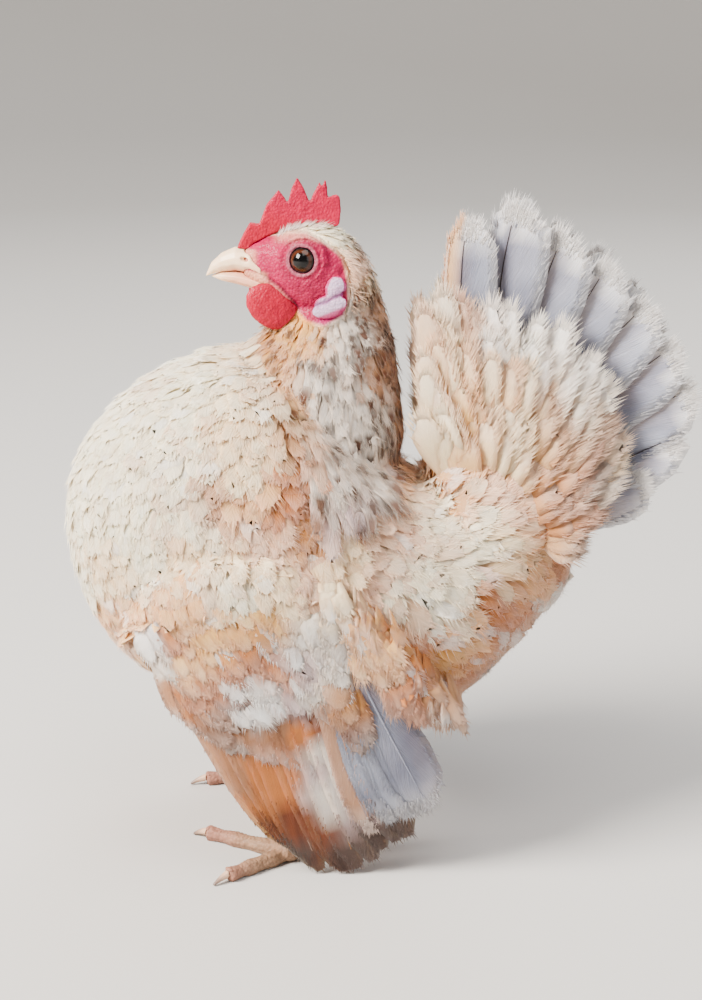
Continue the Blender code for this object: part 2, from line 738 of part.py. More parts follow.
def fan_vane(side, root, bend, tip, width, splay, finish):
    """A tail feather along a bent shaft, its face turned outwards and its rear edge the outer one."""
    root, bend, tip = Vector(root), Vector(bend), Vector(tip)
    middles, normals = [], []
    for t, wide in VANE_ROWS:
        spot = root * (1 - t) ** 2 + bend * 2 * t * (1 - t) + tip * t ** 2
        run = ((bend - root) * (1 - t) + (tip - bend) * t).normalized()
        flat = Vector((run.z, 0.0, -run.x)).normalized()
        outward = Vector((0.0, side, 0.0))
        across = (flat * math.cos(splay) + outward * math.sin(splay)).normalized()
        across = (across - run * across.dot(run)).normalized()
        normal = across.cross(run).normalized()
        normal = normal if normal.y * side > 0 else -normal
        half = width * wide / 2
        middles.append([spot + across * half * k - normal * VANE_CUP * half * abs(k) for k in (-1, 0, 1)])
        normals.append([normal] * 3)
    return plate("vane", middles, normals, VANE_EDGE, VANE_SHAFT, finish)


def make_tail(torso):
    """The rump's cushion with the fan of main feathers on each side and two rows of coverts before it."""
    rings = [
        ring((x, 0, z), (0, 1, 0), (1, 0, 0), half_width, half_depth, TAIL_CORE_SIDES)
        for x, z, half_depth, half_width in TAIL_CORE
    ]
    low, high = ((x, 0, z) for x, z in (TAIL_CORE_BOTTOM, TAIL_CORE_TOP))
    tail = skin_rings("tail", rings, low, high, "grey_feather")
    vanes = []
    for side in SIDES.values():
        for i, (bend_x, bend_z, tip_x, tip_y, tip_z, width) in enumerate(TAIL_FAN):
            x, y, z = (start + step * i for start, step in zip(TAIL_ROOT, TAIL_ROOT_STEP))
            root = (x, side * y, z)
            bend = (bend_x, side * (TAIL_BEND_OUT[0] + tip_y * TAIL_BEND_OUT[1]), bend_z)
            tip = (tip_x, side * tip_y, tip_z)
            vanes.append(fan_vane(side, root, bend, tip, width, TAIL_SPLAY, "grey_feather"))
        for count, tips, first_y, last_y, width in TAIL_COVERTS:
            for i in range(count):
                share = i / (count - 1)
                x, z = along(tips, share)
                y = blend(first_y, last_y, share)
                root = Vector(along(COVERT_ROOTS, share))
                root.y *= side
                forward, upward = COVERT_BEND_SHARES
                bend = (blend(root.x, x, forward) - COVERT_BEND_SHIFT * (1 - share),
                        side * (y + COVERT_BEND_SHIFT), blend(root.z, z, upward))
                tip = (x, side * y, z)
                vanes.append(fan_vane(side, root, bend, tip, width, COVERT_SPLAY, "cream_feather"))
    apply_boolean(tail, vanes, "UNION")
    return cut_clear(tail, torso)


def limb(name, points, radii, count, finish):
    """A round limb through points, with a radius at each."""
    rings = []
    for i, point in enumerate(points):
        before, after = points[max(i - 1, 0)], points[min(i + 1, len(points) - 1)]
        run = (Vector(after) - Vector(before)).normalized()
        across = run.cross(Vector((0, 0, 1)))
        across = across.normalized() if across.length > 0.1 else Vector((0, 1, 0))
        up = across.cross(run).normalized()
        rings.append(ring(point, across, up, radii[i], radii[i], count))
    first, second, before, last = (Vector(points[i]) for i in (0, 1, -2, -1))
    start = first + (first - second).normalized() * radii[0] * LIMB_CAP
    end = last + (last - before).normalized() * radii[-1] * LIMB_CAP
    return skin_rings(name, rings, start, end, finish)


def make_toe(side, heading, length, joints, ankle):
    """A toe with swollen joints, flat on the floor, and the place where its claw starts."""
    way = Vector((-math.cos(heading), side * -math.sin(heading), 0.0))
    steps = joints * 2 + 1
    points, radii = [], []
    for i in range(steps):
        share = i / (steps - 1)
        reach = way * length * share
        height = blend(ankle.z - TOE_DROP, TOE_HEIGHT, smooth_step(share, 0.0, TOE_LEVEL_SHARE))
        points.append(Vector((ankle.x, ankle.y, 0.0)) + reach + Vector((0, 0, height)))
        pad = TOE_PAD * math.cos(2.0 * math.pi * joints * share) * blend(0.3, 1.0, share)
        radii.append(TOE_RADIUS * blend(1.0, TOE_TAPER, share) + pad)
    return limb("toe", points, radii, TOE_SIDES, "leg_scale"), points[-1], way


def make_claw(name, start, way, foot):
    """A claw that curves down to the floor from a toe's end."""
    rise, fall = CLAW_ARCH
    points, radii = [], []
    for i in range(CLAW_ROWS):
        share = i / (CLAW_ROWS - 1)
        drop = Vector((0, 0, rise - fall * share * share))
        points.append(start - way * CLAW_BACK + way * CLAW_LENGTH * share + drop)
        radii.append(blend(*CLAW_RADII, share))
    claw = limb(name, points, radii, CLAW_SIDES, "claw_horn")
    cut_clear(claw, foot)
    return apply_boolean(claw, [floor_block()], "DIFFERENCE")


def make_leg(name, side, torso):
    """A feathered thigh, a bare shank, and a foot of four toes that stands flat, with a claw on each."""
    hip, hock, ankle = (Vector((p[0], p[1] * side, p[2])) for p in (HIP, HOCK, ANKLE))
    shank_top = hock.lerp(ankle, SHANK_TOP)
    shank_line = [shank_top.lerp(ankle, share) for share, _ in SHANK_ROWS]
    shank_radii = [SHANK_RADIUS * swell for _, swell in SHANK_ROWS]
    shank = limb(f"shank_{name}", shank_line, shank_radii, SHANK_SIDES, "leg_scale")
    thigh_line = [hip.lerp(hock, share) for share, _ in THIGH_ROWS]
    thigh_radii = [radius for _, radius in THIGH_ROWS]
    thigh = limb(f"thigh_{name}", thigh_line, thigh_radii, THIGH_SIDES, "thigh_feather")
    toes = []
    for toe_name, inwards, length, joints in TOES:
        turn = FOOT_TURN[name] if toe_name != "hind" else 0.0
        heading = math.radians(inwards + turn)
        toes.append((toe_name, *make_toe(side, heading, length, joints, ankle)))
    foot = ellipsoid(f"foot_{name}", ankle + Vector(FOOT_OFFSET), FOOT_SIZE, (0, 0, 0), "leg_scale", 10, 6)
    apply_boolean(foot, [toe for _, toe, _, _ in toes], "UNION")
    apply_boolean(foot, [floor_block()], "DIFFERENCE")
    cut_clear(shank, foot)
    cut_clear(thigh, torso, shank)
    for toe_name, _, end, way in toes:
        make_claw(f"claw_{name}_{toe_name}", end, way, foot)


def main():
    """Each part in the order in which its neighbours are needed to cut it clear."""
    start_empty()
    torso = make_torso()
    neck = make_neck()
    eyes = make_eyes()
    head = make_head(eyes)
    cut_clear(neck, head, torso)
    beak = make_beak(head)
    make_comb(head, beak[0])
    make_wattles(head, neck, beak)
    make_earlobes(head, neck)
    for name, side in SIDES.items():
        make_wing(name, side, torso)
        make_leg(name, side, torso)
    make_tail(torso)
    for made in bpy.context.scene.objects:
        made.data.shade_smooth()
        made.data.set_sharp_from_angle(angle=SHARP_ANGLE)


main()
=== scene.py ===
"""Looks for a still, life-size serama hen: one skin under a coat of feathers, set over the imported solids."""

import math
import random

import bmesh
import bpy
import numpy as np
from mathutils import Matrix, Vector, noise
from mathutils.bvhtree import BVHTree


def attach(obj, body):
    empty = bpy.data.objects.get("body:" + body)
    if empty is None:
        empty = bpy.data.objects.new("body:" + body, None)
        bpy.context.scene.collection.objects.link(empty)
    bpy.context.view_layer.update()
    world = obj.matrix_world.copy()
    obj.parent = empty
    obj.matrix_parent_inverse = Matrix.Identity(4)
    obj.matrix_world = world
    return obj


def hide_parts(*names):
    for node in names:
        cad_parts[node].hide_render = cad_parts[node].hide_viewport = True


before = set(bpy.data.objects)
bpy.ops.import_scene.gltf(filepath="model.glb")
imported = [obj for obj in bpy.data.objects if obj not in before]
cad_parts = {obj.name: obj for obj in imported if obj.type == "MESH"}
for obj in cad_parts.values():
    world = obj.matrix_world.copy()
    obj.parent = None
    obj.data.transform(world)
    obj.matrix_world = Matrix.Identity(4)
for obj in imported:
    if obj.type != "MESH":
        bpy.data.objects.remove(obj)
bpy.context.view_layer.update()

MM = 0.001
SIDES = {"left": -1.0, "right": 1.0}
DRAW = np.random.default_rng(11)
LUCK = random.Random(5)

COLOUR_LAYER = "Plume"
BRIGHTEST = 0.97
PATCH_SIZE = 0.003
FLESH_NODES = ("head", "neck", "torso", "thigh_left", "thigh_right")
# The tracts of the coat, by their nodes' places in that list; both thighs count as the last.
HEAD, NECK, TRUNK, THIGH = range(4)

# Sizes in millimetres: x forward is negative, the bird's left is -y, up is z.
SKIN_VOXEL = 0.5
HEAD_FOOT = 150.0
ROOT_THROWS = 90000
ROOT_CELL = 4.0
NODE_SWELL = 0.34
COAT_SOFTNESS = 0.65
VANE_SOFTNESS = 0.40
EYE_CENTRE = (-19.5, 7.3, 172.9)
EYE_RADIUS = 4.3
EYE_LOOKS = (-0.22, 0.95, 0.06)
PUPIL_RADIUS = 2.0
GLOW_RADIUS = 2.6
IRIS_RADIUS = 3.1
LID_OPENING = 3.72
LOBE_CREASE = (0.405, 167.2)
LOBE_BASE = 10.2
FACE_OUTLINE = (
    (-40.0, 179.0), (-33.0, 178.5), (-27.3, 179.4), (-23.9, 180.3), (-18.9, 180.3), (-15.1, 178.6),
    (-11.2, 176.0), (-8.7, 173.4), (-7.4, 168.0), (-7.0, 162.0), (-8.5, 157.6), (-13.8, 154.8),
    (-18.9, 155.9), (-21.5, 158.0), (-25.5, 157.5), (-31.5, 160.2), (-36.0, 163.0), (-42.0, 164.0),
)
GAPE_LINE = ((-33.0, 168.9), (-29.5, 167.4), (-26.5, 165.6), (-23.6, 162.6), (-21.1, 159.3))
CAPE_OUTLINE = (
    (-33.0, 162.0), (-29.0, 150.0), (-26.0, 143.0), (-24.5, 134.0), (-21.0, 124.0), (-15.5, 114.0),
    (-8.0, 114.0), (0.5, 119.0), (7.5, 126.0), (12.0, 134.0), (14.0, 146.0), (12.0, 170.0),
    (0.0, 192.0), (-34.0, 192.0),
)
WING_ARM = ((-69.0, 73.0), (-61.0, 82.0), (-45.0, 87.0), (-27.0, 87.0), (-14.0, 82.0))
TAIL_CORE = (
    (34.0, 84.0, 20.0, 24.0), (37.0, 98.0, 24.5, 28.0), (39.0, 112.0, 25.5, 23.0),
    (42.0, 126.0, 22.5, 16.0), (44.5, 137.0, 15.0, 9.5),
)
TAIL_FAN = (
    # bend x, bend height, tip x, tip |y|, tip height, width
    (20.0, 146.0, 26.0, 2.2, 183.0, 15.5),
    (30.0, 152.0, 39.5, 4.6, 187.5, 18.5),
    (40.0, 150.0, 52.5, 7.4, 180.0, 18.5),
    (48.0, 146.0, 65.0, 10.4, 172.0, 18.0),
    (53.0, 139.0, 75.5, 13.4, 161.5, 17.5),
    (57.0, 131.0, 83.5, 16.2, 150.5, 17.0),
    (60.0, 122.0, 88.2, 18.6, 139.0, 16.5),
    (59.0, 113.0, 84.5, 20.4, 125.5, 15.5),
    (56.0, 104.0, 76.5, 21.4, 113.5, 14.0),
)
TAIL_COVERTS = (
    # count, tip arc as x and height, first and last |y|, width
    (22, ((17.5, 166.0), (30.0, 158.5), (46.0, 157.0), (60.0, 148.0), (68.0, 133.0), (66.0, 113.0)),
     6.0, 24.0, 11.0),
    (22, ((14.5, 158.0), (28.0, 152.0), (44.0, 150.0), (57.0, 141.0), (65.0, 127.0), (63.0, 109.0)),
     9.0, 25.5, 10.5),
    (22, ((13.0, 149.0), (26.0, 145.0), (42.0, 143.0), (55.0, 134.0), (62.0, 120.0), (61.0, 104.0)),
     11.5, 26.5, 10.0),
    (22, ((12.6, 140.0), (24.0, 137.0), (39.0, 134.0), (52.0, 126.0), (60.0, 112.0), (59.0, 99.0)),
     13.5, 27.5, 10.0),
    (20, ((12.6, 131.0), (22.0, 128.0), (36.0, 125.0), (49.0, 118.0), (57.0, 105.0), (57.0, 94.0)),
     15.0, 28.5, 9.5),
)
TAIL_PATCHES = (
    # x, height, colour of the feathers that end there; low at the cushion's rear the tan, orange and taupe are
    # darker partly as painted shade
    (14, 168, "buff"), (18, 172, "tan"), (14, 158, "tan"), (12, 148, "buff"), (12, 138, "blush"),
    (14, 130, "cream"), (21, 162, "ivory"), (23, 168, "ivory"), (27, 160, "orange"), (33, 156, "buff"),
    (40, 156, "cream"), (48, 156, "ivory"), (56, 150, "cream"), (64, 142, "cream"), (68, 130, "ivory"),
    (66, 114, "cream"), (20, 150, "cream"), (26, 146, "buff"), (34, 146, "cream"), (42, 148, "cream"),
    # (62, 112), (52, 132), (58, 122), (58, 106) and (53, 118): the feathers' own tan and orange, darker partly
    # as painted shade
    (50, 146, "buff"), (57, 138, "cream"), (63, 126, "tan"), (62, 112, "taupe"), (18, 140, "cream"),
    (26, 136, "gold"), (35, 138, "buff"), (44, 140, "cream"), (52, 132, "tan"), (58, 122, "orange"),
    (58, 106, "orange"), (18, 128, "cream"), (26, 124, "buff"), (36, 128, "cream"), (46, 128, "gold"),
    (53, 118, "orange"), (56, 98, "tan"),
)
COVERT_ROOTS = ((24.0, 9.0, 106.0), (46.0, 15.5, 96.0))
WING_TIERS = (
    # name, count, root arc, tip arc, first and last width, lift, slant
    ("flight", 14, ((-65.0, 77.0), (-48.0, 86.0), (-31.0, 87.0), (-17.0, 82.0)),
     ((-24.5, 8.5), (-16.0, 2.2), (-5.0, 2.0), (9.0, 13.5)), 9.5, 12.0, 1.0, -0.16),
    ("tertial", 4, ((-19.0, 83.0), (-11.0, 79.0)), ((0.5, 15.5), (15.0, 22.5)), 12.0, 18.0, 2.5, -0.12),
    ("greater", 13, ((-64.0, 78.0), (-48.0, 85.0), (-31.0, 85.0), (-17.0, 80.0)),
     ((-53.0, 49.0), (-39.0, 41.5), (-23.0, 35.0), (-8.0, 31.0)), 9.0, 10.5, 2.5, -0.12),
)
TIER_FRAY = {
    # raggedness, barbs along the edges, then the tip's fringe: count, length and width
    "flight": (0.04, 100, (40, 0.45, 0.35)),
    "tertial": (0.06, 200, (90, 0.35, 0.40)),
    "greater": (0.12, 70, (30, 0.5, 0.35)),
}
SHAFT_SHADE = {"flight": 0.8, "tertial": 1.3}
COVERT_ROWS = 7
COVERTS_A_ROW = 19
COVERT_ARC = ((-66.0, 79.0), (-57.0, 86.0), (-46.0, 90.0), (-30.0, 91.0), (-18.0, 87.0), (-12.0, 81.0))
COVERT_STEP = 4.1
COVERT_LEAN = (0.62, 0.22)
FLANK_LINE = ((-15.0, 93.0), (-9.0, 84.0), (-3.0, 78.0), (5.0, 70.0), (13.0, 62.0))
FLANK_REAR = ((-7.0, 89.0), (0.0, 82.0), (7.0, 74.0), (14.0, 66.0), (19.0, 58.0))
FLANK_COUNT = 90
FLANK_REAR_COUNT = 64
ANKLE = (-24.3, 28.0, 4.4)
HOCK = (-3.0, 27.0, 35.0)
TOES = (("middle", 0.0, 27.5), ("outer", -68.0, 22.0), ("inner", 39.0, 19.0), ("hind", 166.0, 12.0))
FOOT_TURN = {"left": 28.0, "right": 8.0}
SCUTE_SIZES = {"Spacing": 1.25, "Length": 0.95, "Thickness": 0.5}

# The stage, in metres: the floor's radius and height from its middle outwards, the lamps and the camera.
FLOOR_PROFILE = (
    (0.6, 0.0), (1.3, 0.0), (1.6, 0.03), (1.9, 0.14), (2.15, 0.34), (2.3, 0.62), (2.36, 1.0),
)
FLOOR_COLOUR = (0.50, 0.49, 0.48, 1.0)
LAMPS = (
    # name, place, target, size, power, colour
    ("key", (-0.92, -0.5, 0.9), (0, 0, 0.1), 0.6, 84.0, (1.0, 0.93, 0.84)),
    ("fill", (0.9, -0.7, 0.5), (0, 0, 0.1), 0.8, 3.5, (0.98, 0.97, 1.0)),
    ("rim", (0.4, 0.8, 0.9), (0, 0, 0.12), 0.6, 12.0, (1.0, 1.0, 1.0)),
    ("top", (0.15, -0.35, 1.15), (0.02, 0, 0.1), 0.7, 9.0, (1.0, 0.96, 0.90)),
)
ROOM_COLOUR = (0.95, 0.93, 0.92, 1.0)
ROOM_STRENGTH = 0.36
CAMERA_PLACE = (-0.0065, -0.573, 0.2707)
CAMERA_TILT = math.radians(73.5)
CAMERA_LENS = 73.8
CAMERA_SENSOR = 36.0

# Colours as a paint chart would give them (sRGB, 0 to 1); tan, rust, orange, fawn, umber, blue, pale_blue, leg
# and toe are set darker, partly as painted shade for the lower and rear parts.
PAINTS = {
    "white": (0.985, 0.955, 0.93), "ivory": (0.99, 0.93, 0.80), "cream": (0.985, 0.85, 0.66),
    "buff": (0.94, 0.69, 0.45), "gold": (0.92, 0.65, 0.34), "orange": (0.74, 0.42, 0.21),
    "rust": (0.56, 0.28, 0.15), "russet": (0.44, 0.22, 0.13), "tan": (0.72, 0.50, 0.34),
    "fawn": (0.60, 0.40, 0.28), "amber": (0.74, 0.46, 0.22), "brown": (0.16, 0.09, 0.06),
    "umber": (0.30, 0.24, 0.22), "taupe": (0.54, 0.44, 0.40), "mauve": (0.76, 0.64, 0.63),
    "silver": (0.90, 0.84, 0.78), "blush": (0.93, 0.74, 0.60), "blue": (0.41, 0.42, 0.49),
    "slate": (0.24, 0.23, 0.31), "pale_blue": (0.60, 0.61, 0.67), "ink": (0.12, 0.10, 0.11),
    "face": (0.62, 0.015, 0.25), "face_deep": (0.47, 0.01, 0.17), "comb": (0.67, 0.0, 0.21),
    "wattle": (0.62, 0.0, 0.16), "rim": (0.66, 0.10, 0.36), "lid": (0.60, 0.31, 0.38),
    "lobe": (0.78, 0.67, 0.79), "lobe_fold": (0.50, 0.20, 0.44), "horn": (0.96, 0.83, 0.68),
    # leg and toe are darkened as painted shade, the legs standing in shade
    "horn_pink": (0.86, 0.60, 0.49), "leg": (0.55, 0.43, 0.34), "toe": (0.60, 0.39, 0.35),
}


def linear(colour):
    """A paint's colour in the linear light that materials and meshes take."""
    return tuple(((c + 0.055) / 1.055) ** 2.4 if c > 0.04045 else c / 12.92 for c in colour)


TINT = {name: np.array(linear(colour)) for name, colour in PAINTS.items()}


def smooth_step(value, low, high):
    """A soft rise from 0 at low to 1 at high."""
    t = np.clip((np.asarray(value, float) - low) / (high - low), 0.0, 1.0)
    return t * t * (3.0 - 2.0 * t)


def mix(a, b, t):
    return a + (b - a) * t


def along(points, share):
    """The place at a share from 0 to 1 of a polyline, by its corners."""
    place = min(max(share, 0.0), 1.0) * (len(points) - 1)
    i = min(int(place), len(points) - 2)
    return tuple(mix(a, b, place - i) for a, b in zip(points[i], points[i + 1]))


def paintable(colours):
    """Colours kept within what a paint can be."""
    return np.clip(colours, 0.0, BRIGHTEST)


def unit(vectors):
    return vectors / np.maximum(np.linalg.norm(vectors, axis=-1, keepdims=True), 1e-9)


# materials


def new_material(name):
    """A material with its node tree's parts at hand."""
    finish = bpy.data.materials.new(name)
    finish.use_nodes = True
    nodes = finish.node_tree.nodes
    return finish, nodes, finish.node_tree.links, nodes["Principled BSDF"]


def painted(nodes):
    """The colour painted on the mesh."""
    paint = nodes.new("ShaderNodeVertexColor")
    paint.layer_name = COLOUR_LAYER
    return paint.outputs["Color"]


def multiplied(nodes, links, colour, factor, low, high):
    """The colour made darker and lighter by a factor that runs from 0 to 1."""
    span = nodes.new("ShaderNodeMapRange")
    span.inputs["To Min"].default_value = low
    span.inputs["To Max"].default_value = high
    links.new(factor, span.inputs["Value"])
    blend = nodes.new("ShaderNodeVectorMath")
    blend.operation = "SCALE"
    links.new(colour, blend.inputs[0])
    links.new(span.outputs["Result"], blend.inputs["Scale"])
    return blend.outputs["Vector"]


def bump(nodes, links, shader, height, strength, distance):
    relief = nodes.new("ShaderNodeBump")
    relief.inputs["Strength"].default_value = strength
    relief.inputs["Distance"].default_value = distance
    links.new(height, relief.inputs["Height"])
    links.new(relief.outputs["Normal"], shader.inputs["Normal"])


def grain(nodes, links, scale, detail=3.0, stretch=(1.0, 1.0, 1.0)):
    """Fine noise over the piece, finer along an axis that is stretched more."""
    place = nodes.new("ShaderNodeTexCoord")
    turn = nodes.new("ShaderNodeMapping")
    turn.inputs["Scale"].default_value = stretch
    links.new(place.outputs["Object"], turn.inputs["Vector"])
    specks = nodes.new("ShaderNodeTexNoise")
    specks.inputs["Scale"].default_value = scale
    specks.inputs["Detail"].default_value = detail
    links.new(turn.outputs["Vector"], specks.inputs["Vector"])
    return specks.outputs["Fac"]


def feather_finish(name, barbs, strength, roughness=0.75, sheen=0.06):
    """Plumage: painted colour with barbs that run outwards and forwards from the shaft."""
    finish, nodes, links, shader = new_material(name)
    vane = nodes.new("ShaderNodeUVMap")
    vane.uv_map = "Vane"
    parts = nodes.new("ShaderNodeSeparateXYZ")
    links.new(vane.outputs["UV"], parts.inputs[0])
    aside = nodes.new("ShaderNodeMath")
    aside.operation = "ABSOLUTE"
    links.new(parts.outputs["X"], aside.inputs[0])
    swept = nodes.new("ShaderNodeMath")
    swept.operation = "MULTIPLY_ADD"
    links.new(aside.outputs[0], swept.inputs[0])
    swept.inputs[1].default_value = -0.42
    links.new(parts.outputs["Y"], swept.inputs[2])
    lines = nodes.new("ShaderNodeCombineXYZ")
    links.new(swept.outputs[0], lines.inputs["Y"])
    links.new(parts.outputs["Z"], lines.inputs["Z"])
    spread = nodes.new("ShaderNodeMath")
    spread.operation = "MULTIPLY"
    spread.inputs[1].default_value = 0.05
    links.new(parts.outputs["X"], spread.inputs[0])
    links.new(spread.outputs[0], lines.inputs["X"])
    barb = nodes.new("ShaderNodeTexNoise")
    barb.inputs["Scale"].default_value = barbs
    barb.inputs["Detail"].default_value = 2.0
    links.new(lines.outputs[0], barb.inputs["Vector"])
    colour = multiplied(nodes, links, painted(nodes), barb.outputs["Fac"], 1.0 - strength, 1.0 + strength)
    colour = multiplied(nodes, links, colour, grain(nodes, links, 420.0), 0.94, 1.06)
    links.new(colour, shader.inputs["Base Color"])
    shader.inputs["Roughness"].default_value = roughness
    shader.inputs["Specular IOR Level"].default_value = 0.15
    shader.inputs["Sheen Weight"].default_value = sheen
    shader.inputs["Sheen Roughness"].default_value = 0.5
    shader.inputs["Subsurface Weight"].default_value = 0.5
    shader.inputs["Subsurface Radius"].default_value = (0.0030, 0.0024, 0.0019)
    shader.inputs["Subsurface Scale"].default_value = 1.0
    bump(nodes, links, shader, barb.outputs["Fac"], 0.6, 0.0006)
    return finish


def flesh_finish(name, scale, relief, roughness, wet=0.0, softness=0.12):
    """Bare skin: painted colour with fine grain and a pebbled surface."""
    finish, nodes, links, shader = new_material(name)
    pebbles = nodes.new("ShaderNodeTexVoronoi")
    pebbles.inputs["Scale"].default_value = scale
    place = nodes.new("ShaderNodeTexCoord")
    links.new(place.outputs["Object"], pebbles.inputs["Vector"])
    colour = multiplied(nodes, links, painted(nodes), grain(nodes, links, scale * 0.5, 4.0), 0.86, 1.12)
    colour = multiplied(nodes, links, colour, pebbles.outputs["Distance"], 1.08, 0.80)
    links.new(colour, shader.inputs["Base Color"])
    shader.inputs["Roughness"].default_value = roughness
    shader.inputs["Subsurface Weight"].default_value = softness
    shader.inputs["Subsurface Radius"].default_value = (0.004, 0.0012, 0.0008)
    shader.inputs["Subsurface Scale"].default_value = 0.3
    shader.inputs["Coat Weight"].default_value = wet
    shader.inputs["Specular IOR Level"].default_value = 0.18
    bump(nodes, links, shader, pebbles.outputs["Distance"], relief, -0.0005)
    return finish


def horn_finish(name, stretch, roughness):
    """Beak and claws: painted colour with fine streaks along the growth."""
    finish, nodes, links, shader = new_material(name)
    streaks = grain(nodes, links, 500.0, 4.0, stretch)
    colour = multiplied(nodes, links, painted(nodes), streaks, 0.84, 1.12)
    links.new(colour, shader.inputs["Base Color"])
    shader.inputs["Roughness"].default_value = roughness
    shader.inputs["Subsurface Weight"].default_value = 0.1
    shader.inputs["Subsurface Radius"].default_value = (0.002, 0.001, 0.0006)
    shader.inputs["Subsurface Scale"].default_value = 0.3
    bump(nodes, links, shader, streaks, 0.25, 0.0003)
    return finish


def eye_finish():
    """The eyeball: painted colour with fine fibres under a wet coat."""
    finish, nodes, links, shader = new_material("eye_wet")
    fibres = grain(nodes, links, 900.0, 3.0)
    links.new(multiplied(nodes, links, painted(nodes), fibres, 0.8, 1.2), shader.inputs["Base Color"])
    shader.inputs["Roughness"].default_value = 0.12
    shader.inputs["Specular IOR Level"].default_value = 0.2
    shader.inputs["Coat Weight"].default_value = 0.22
    shader.inputs["Coat Roughness"].default_value = 0.02
    return finish


FINISHES = {
    "coat": feather_finish("coat_feathers", 11.0, 0.26),
    "vane": feather_finish("vane_feathers", 70.0, 0.15, 0.68, 0.04),
    "face": flesh_finish("face_flesh", 1300.0, 0.55, 0.50, 0.05),
    "comb": flesh_finish("comb_flesh", 1500.0, 0.40, 0.42, 0.05, 0.15),
    "lobe": flesh_finish("lobe_flesh", 1600.0, 0.35, 0.48, 0.05),
    "beak": horn_finish("beak_horn", (0.25, 1.0, 1.0), 0.38),
    "claw": horn_finish("claw_horn", (0.4, 0.4, 1.0), 0.36),
    "leg": flesh_finish("leg_scales", 900.0, 0.55, 0.52, 0.0, 0.08),
    "eye": eye_finish(),
}


# meshes


def placed(name, data):
    """A new object in the scene."""
    holder = bpy.data.objects.new(name, data)
    bpy.context.scene.collection.objects.link(holder)
    return holder


def finish_object(name, mesh, finish, nodes=(), smooth=True):
    """Sets a finished mesh in the scene as a piece of the bird."""
    mesh.materials.clear()
    mesh.materials.append(FINISHES[finish])
    made = placed(name, mesh)
    if smooth:
        mesh.shade_smooth()
    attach(made, "root")
    if nodes:
        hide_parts(*nodes)


def points_of(mesh):
    """A mesh's places in millimetres."""
    flat = np.empty(len(mesh.vertices) * 3)
    mesh.vertices.foreach_get("co", flat)
    return flat.reshape(-1, 3) / MM


def normals_of(mesh):
    flat = np.empty(len(mesh.vertices) * 3)
    mesh.vertex_normals.foreach_get("vector", flat)
    return flat.reshape(-1, 3)


def move_points(mesh, points):
    mesh.vertices.foreach_set("co", (points * MM).astype(np.float32).ravel())
    mesh.update()


def paint(mesh, colours):
    attribute = mesh.color_attributes.new(COLOUR_LAYER, "FLOAT_COLOR", "POINT")
    rows = np.ones((len(mesh.vertices), 4), np.float32)
    rows[:, :3] = colours
    attribute.data.foreach_set("color", rows.ravel())


def node_copy(name, swell=0.0):
    """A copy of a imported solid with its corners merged, made slightly larger."""
    work = bmesh.new()
    work.from_mesh(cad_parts[name].data)
    bmesh.ops.remove_doubles(work, verts=work.verts[:], dist=1e-6)
    mesh = bpy.data.meshes.new(name)
    work.to_mesh(mesh)
    work.free()
    if swell:
        move_points(mesh, points_of(mesh) + normals_of(mesh) * swell)
    return mesh


def shell(name, points, faces):
    """A closed mesh from places in millimetres, its faces turned outwards."""
    mesh = bpy.data.meshes.new(name)
    mesh.from_pydata((np.array(points) * MM).tolist(), [], faces)
    work = bmesh.new()
    work.from_mesh(mesh)
    bmesh.ops.recalc_face_normals(work, faces=work.faces[:])
    work.to_mesh(mesh)
    work.free()
    return mesh


def loft(rings, first, last):
    """A closed form through rings of equal count, with a point at each end."""
    count = len(rings[0])
    points = [tuple(p) for one in rings for p in one] + [first, last]
    tip, tail = len(points) - 2, len(points) - 1
    top = (len(rings) - 1) * count
    faces = []
    for k in range(count):
        n = (k + 1) % count
        for r in range(len(rings) - 1):
            faces.append((r * count + k, r * count + n, (r + 1) * count + n, (r + 1) * count + k))
        faces.append((tip, n, k))
        faces.append((tail, top + k, top + n))
    return shell("loft", points, faces)


def fused(name, meshes, voxel, smoothing, thin=None):
    """The meshes as one even skin, relaxed; thin gives a share to keep and which points may go."""
    work = bmesh.new()
    for mesh in meshes:
        work.from_mesh(mesh)
    joined = bpy.data.meshes.new(name)
    work.to_mesh(joined)
    work.free()
    holder = placed(name, joined)
    remesh = holder.modifiers.new("even", "REMESH")
    remesh.mode = "VOXEL"
    remesh.voxel_size = voxel * MM
    relax = holder.modifiers.new("relax", "SMOOTH")
    relax.factor = 0.5
    relax.iterations = smoothing
    result = evaluated_mesh(holder)
    if thin:
        share, may_go = thin
        holder.modifiers.clear()
        holder.data = result
        group = holder.vertex_groups.new(name="plain")
        group.add([int(i) for i in np.nonzero(may_go(points_of(result)))[0]], 1.0, "REPLACE")
        fewer = holder.modifiers.new("fewer", "DECIMATE")
        fewer.ratio = share
        fewer.vertex_group = "plain"
        result = evaluated_mesh(holder)
    bpy.data.objects.remove(holder)
    return result


def evaluated_mesh(holder):
    graph = bpy.context.evaluated_depsgraph_get()
    graph.update()
    return bpy.data.meshes.new_from_object(holder.evaluated_get(graph))


def tree_of(mesh):
    """A mesh as a tree to look places up in, with its places and triangles."""
    mesh.calc_loop_triangles()
    corners = np.empty(len(mesh.loop_triangles) * 3, np.int32)
    mesh.loop_triangles.foreach_get("vertices", corners)
    points = points_of(mesh)
    triangles = corners.reshape(-1, 3)
    return BVHTree.FromPolygons(points.tolist(), triangles.tolist()), points, triangles


def clouds(points, size, seed, depth=2):
    """Soft noise from about -1 to 1 at each place."""
    shift = Vector((seed * 17.3, seed * 5.1, seed * 9.7))
    return np.array([noise.fractal(Vector(p) / size + shift, 1.0, 2.0, depth) for p in points])


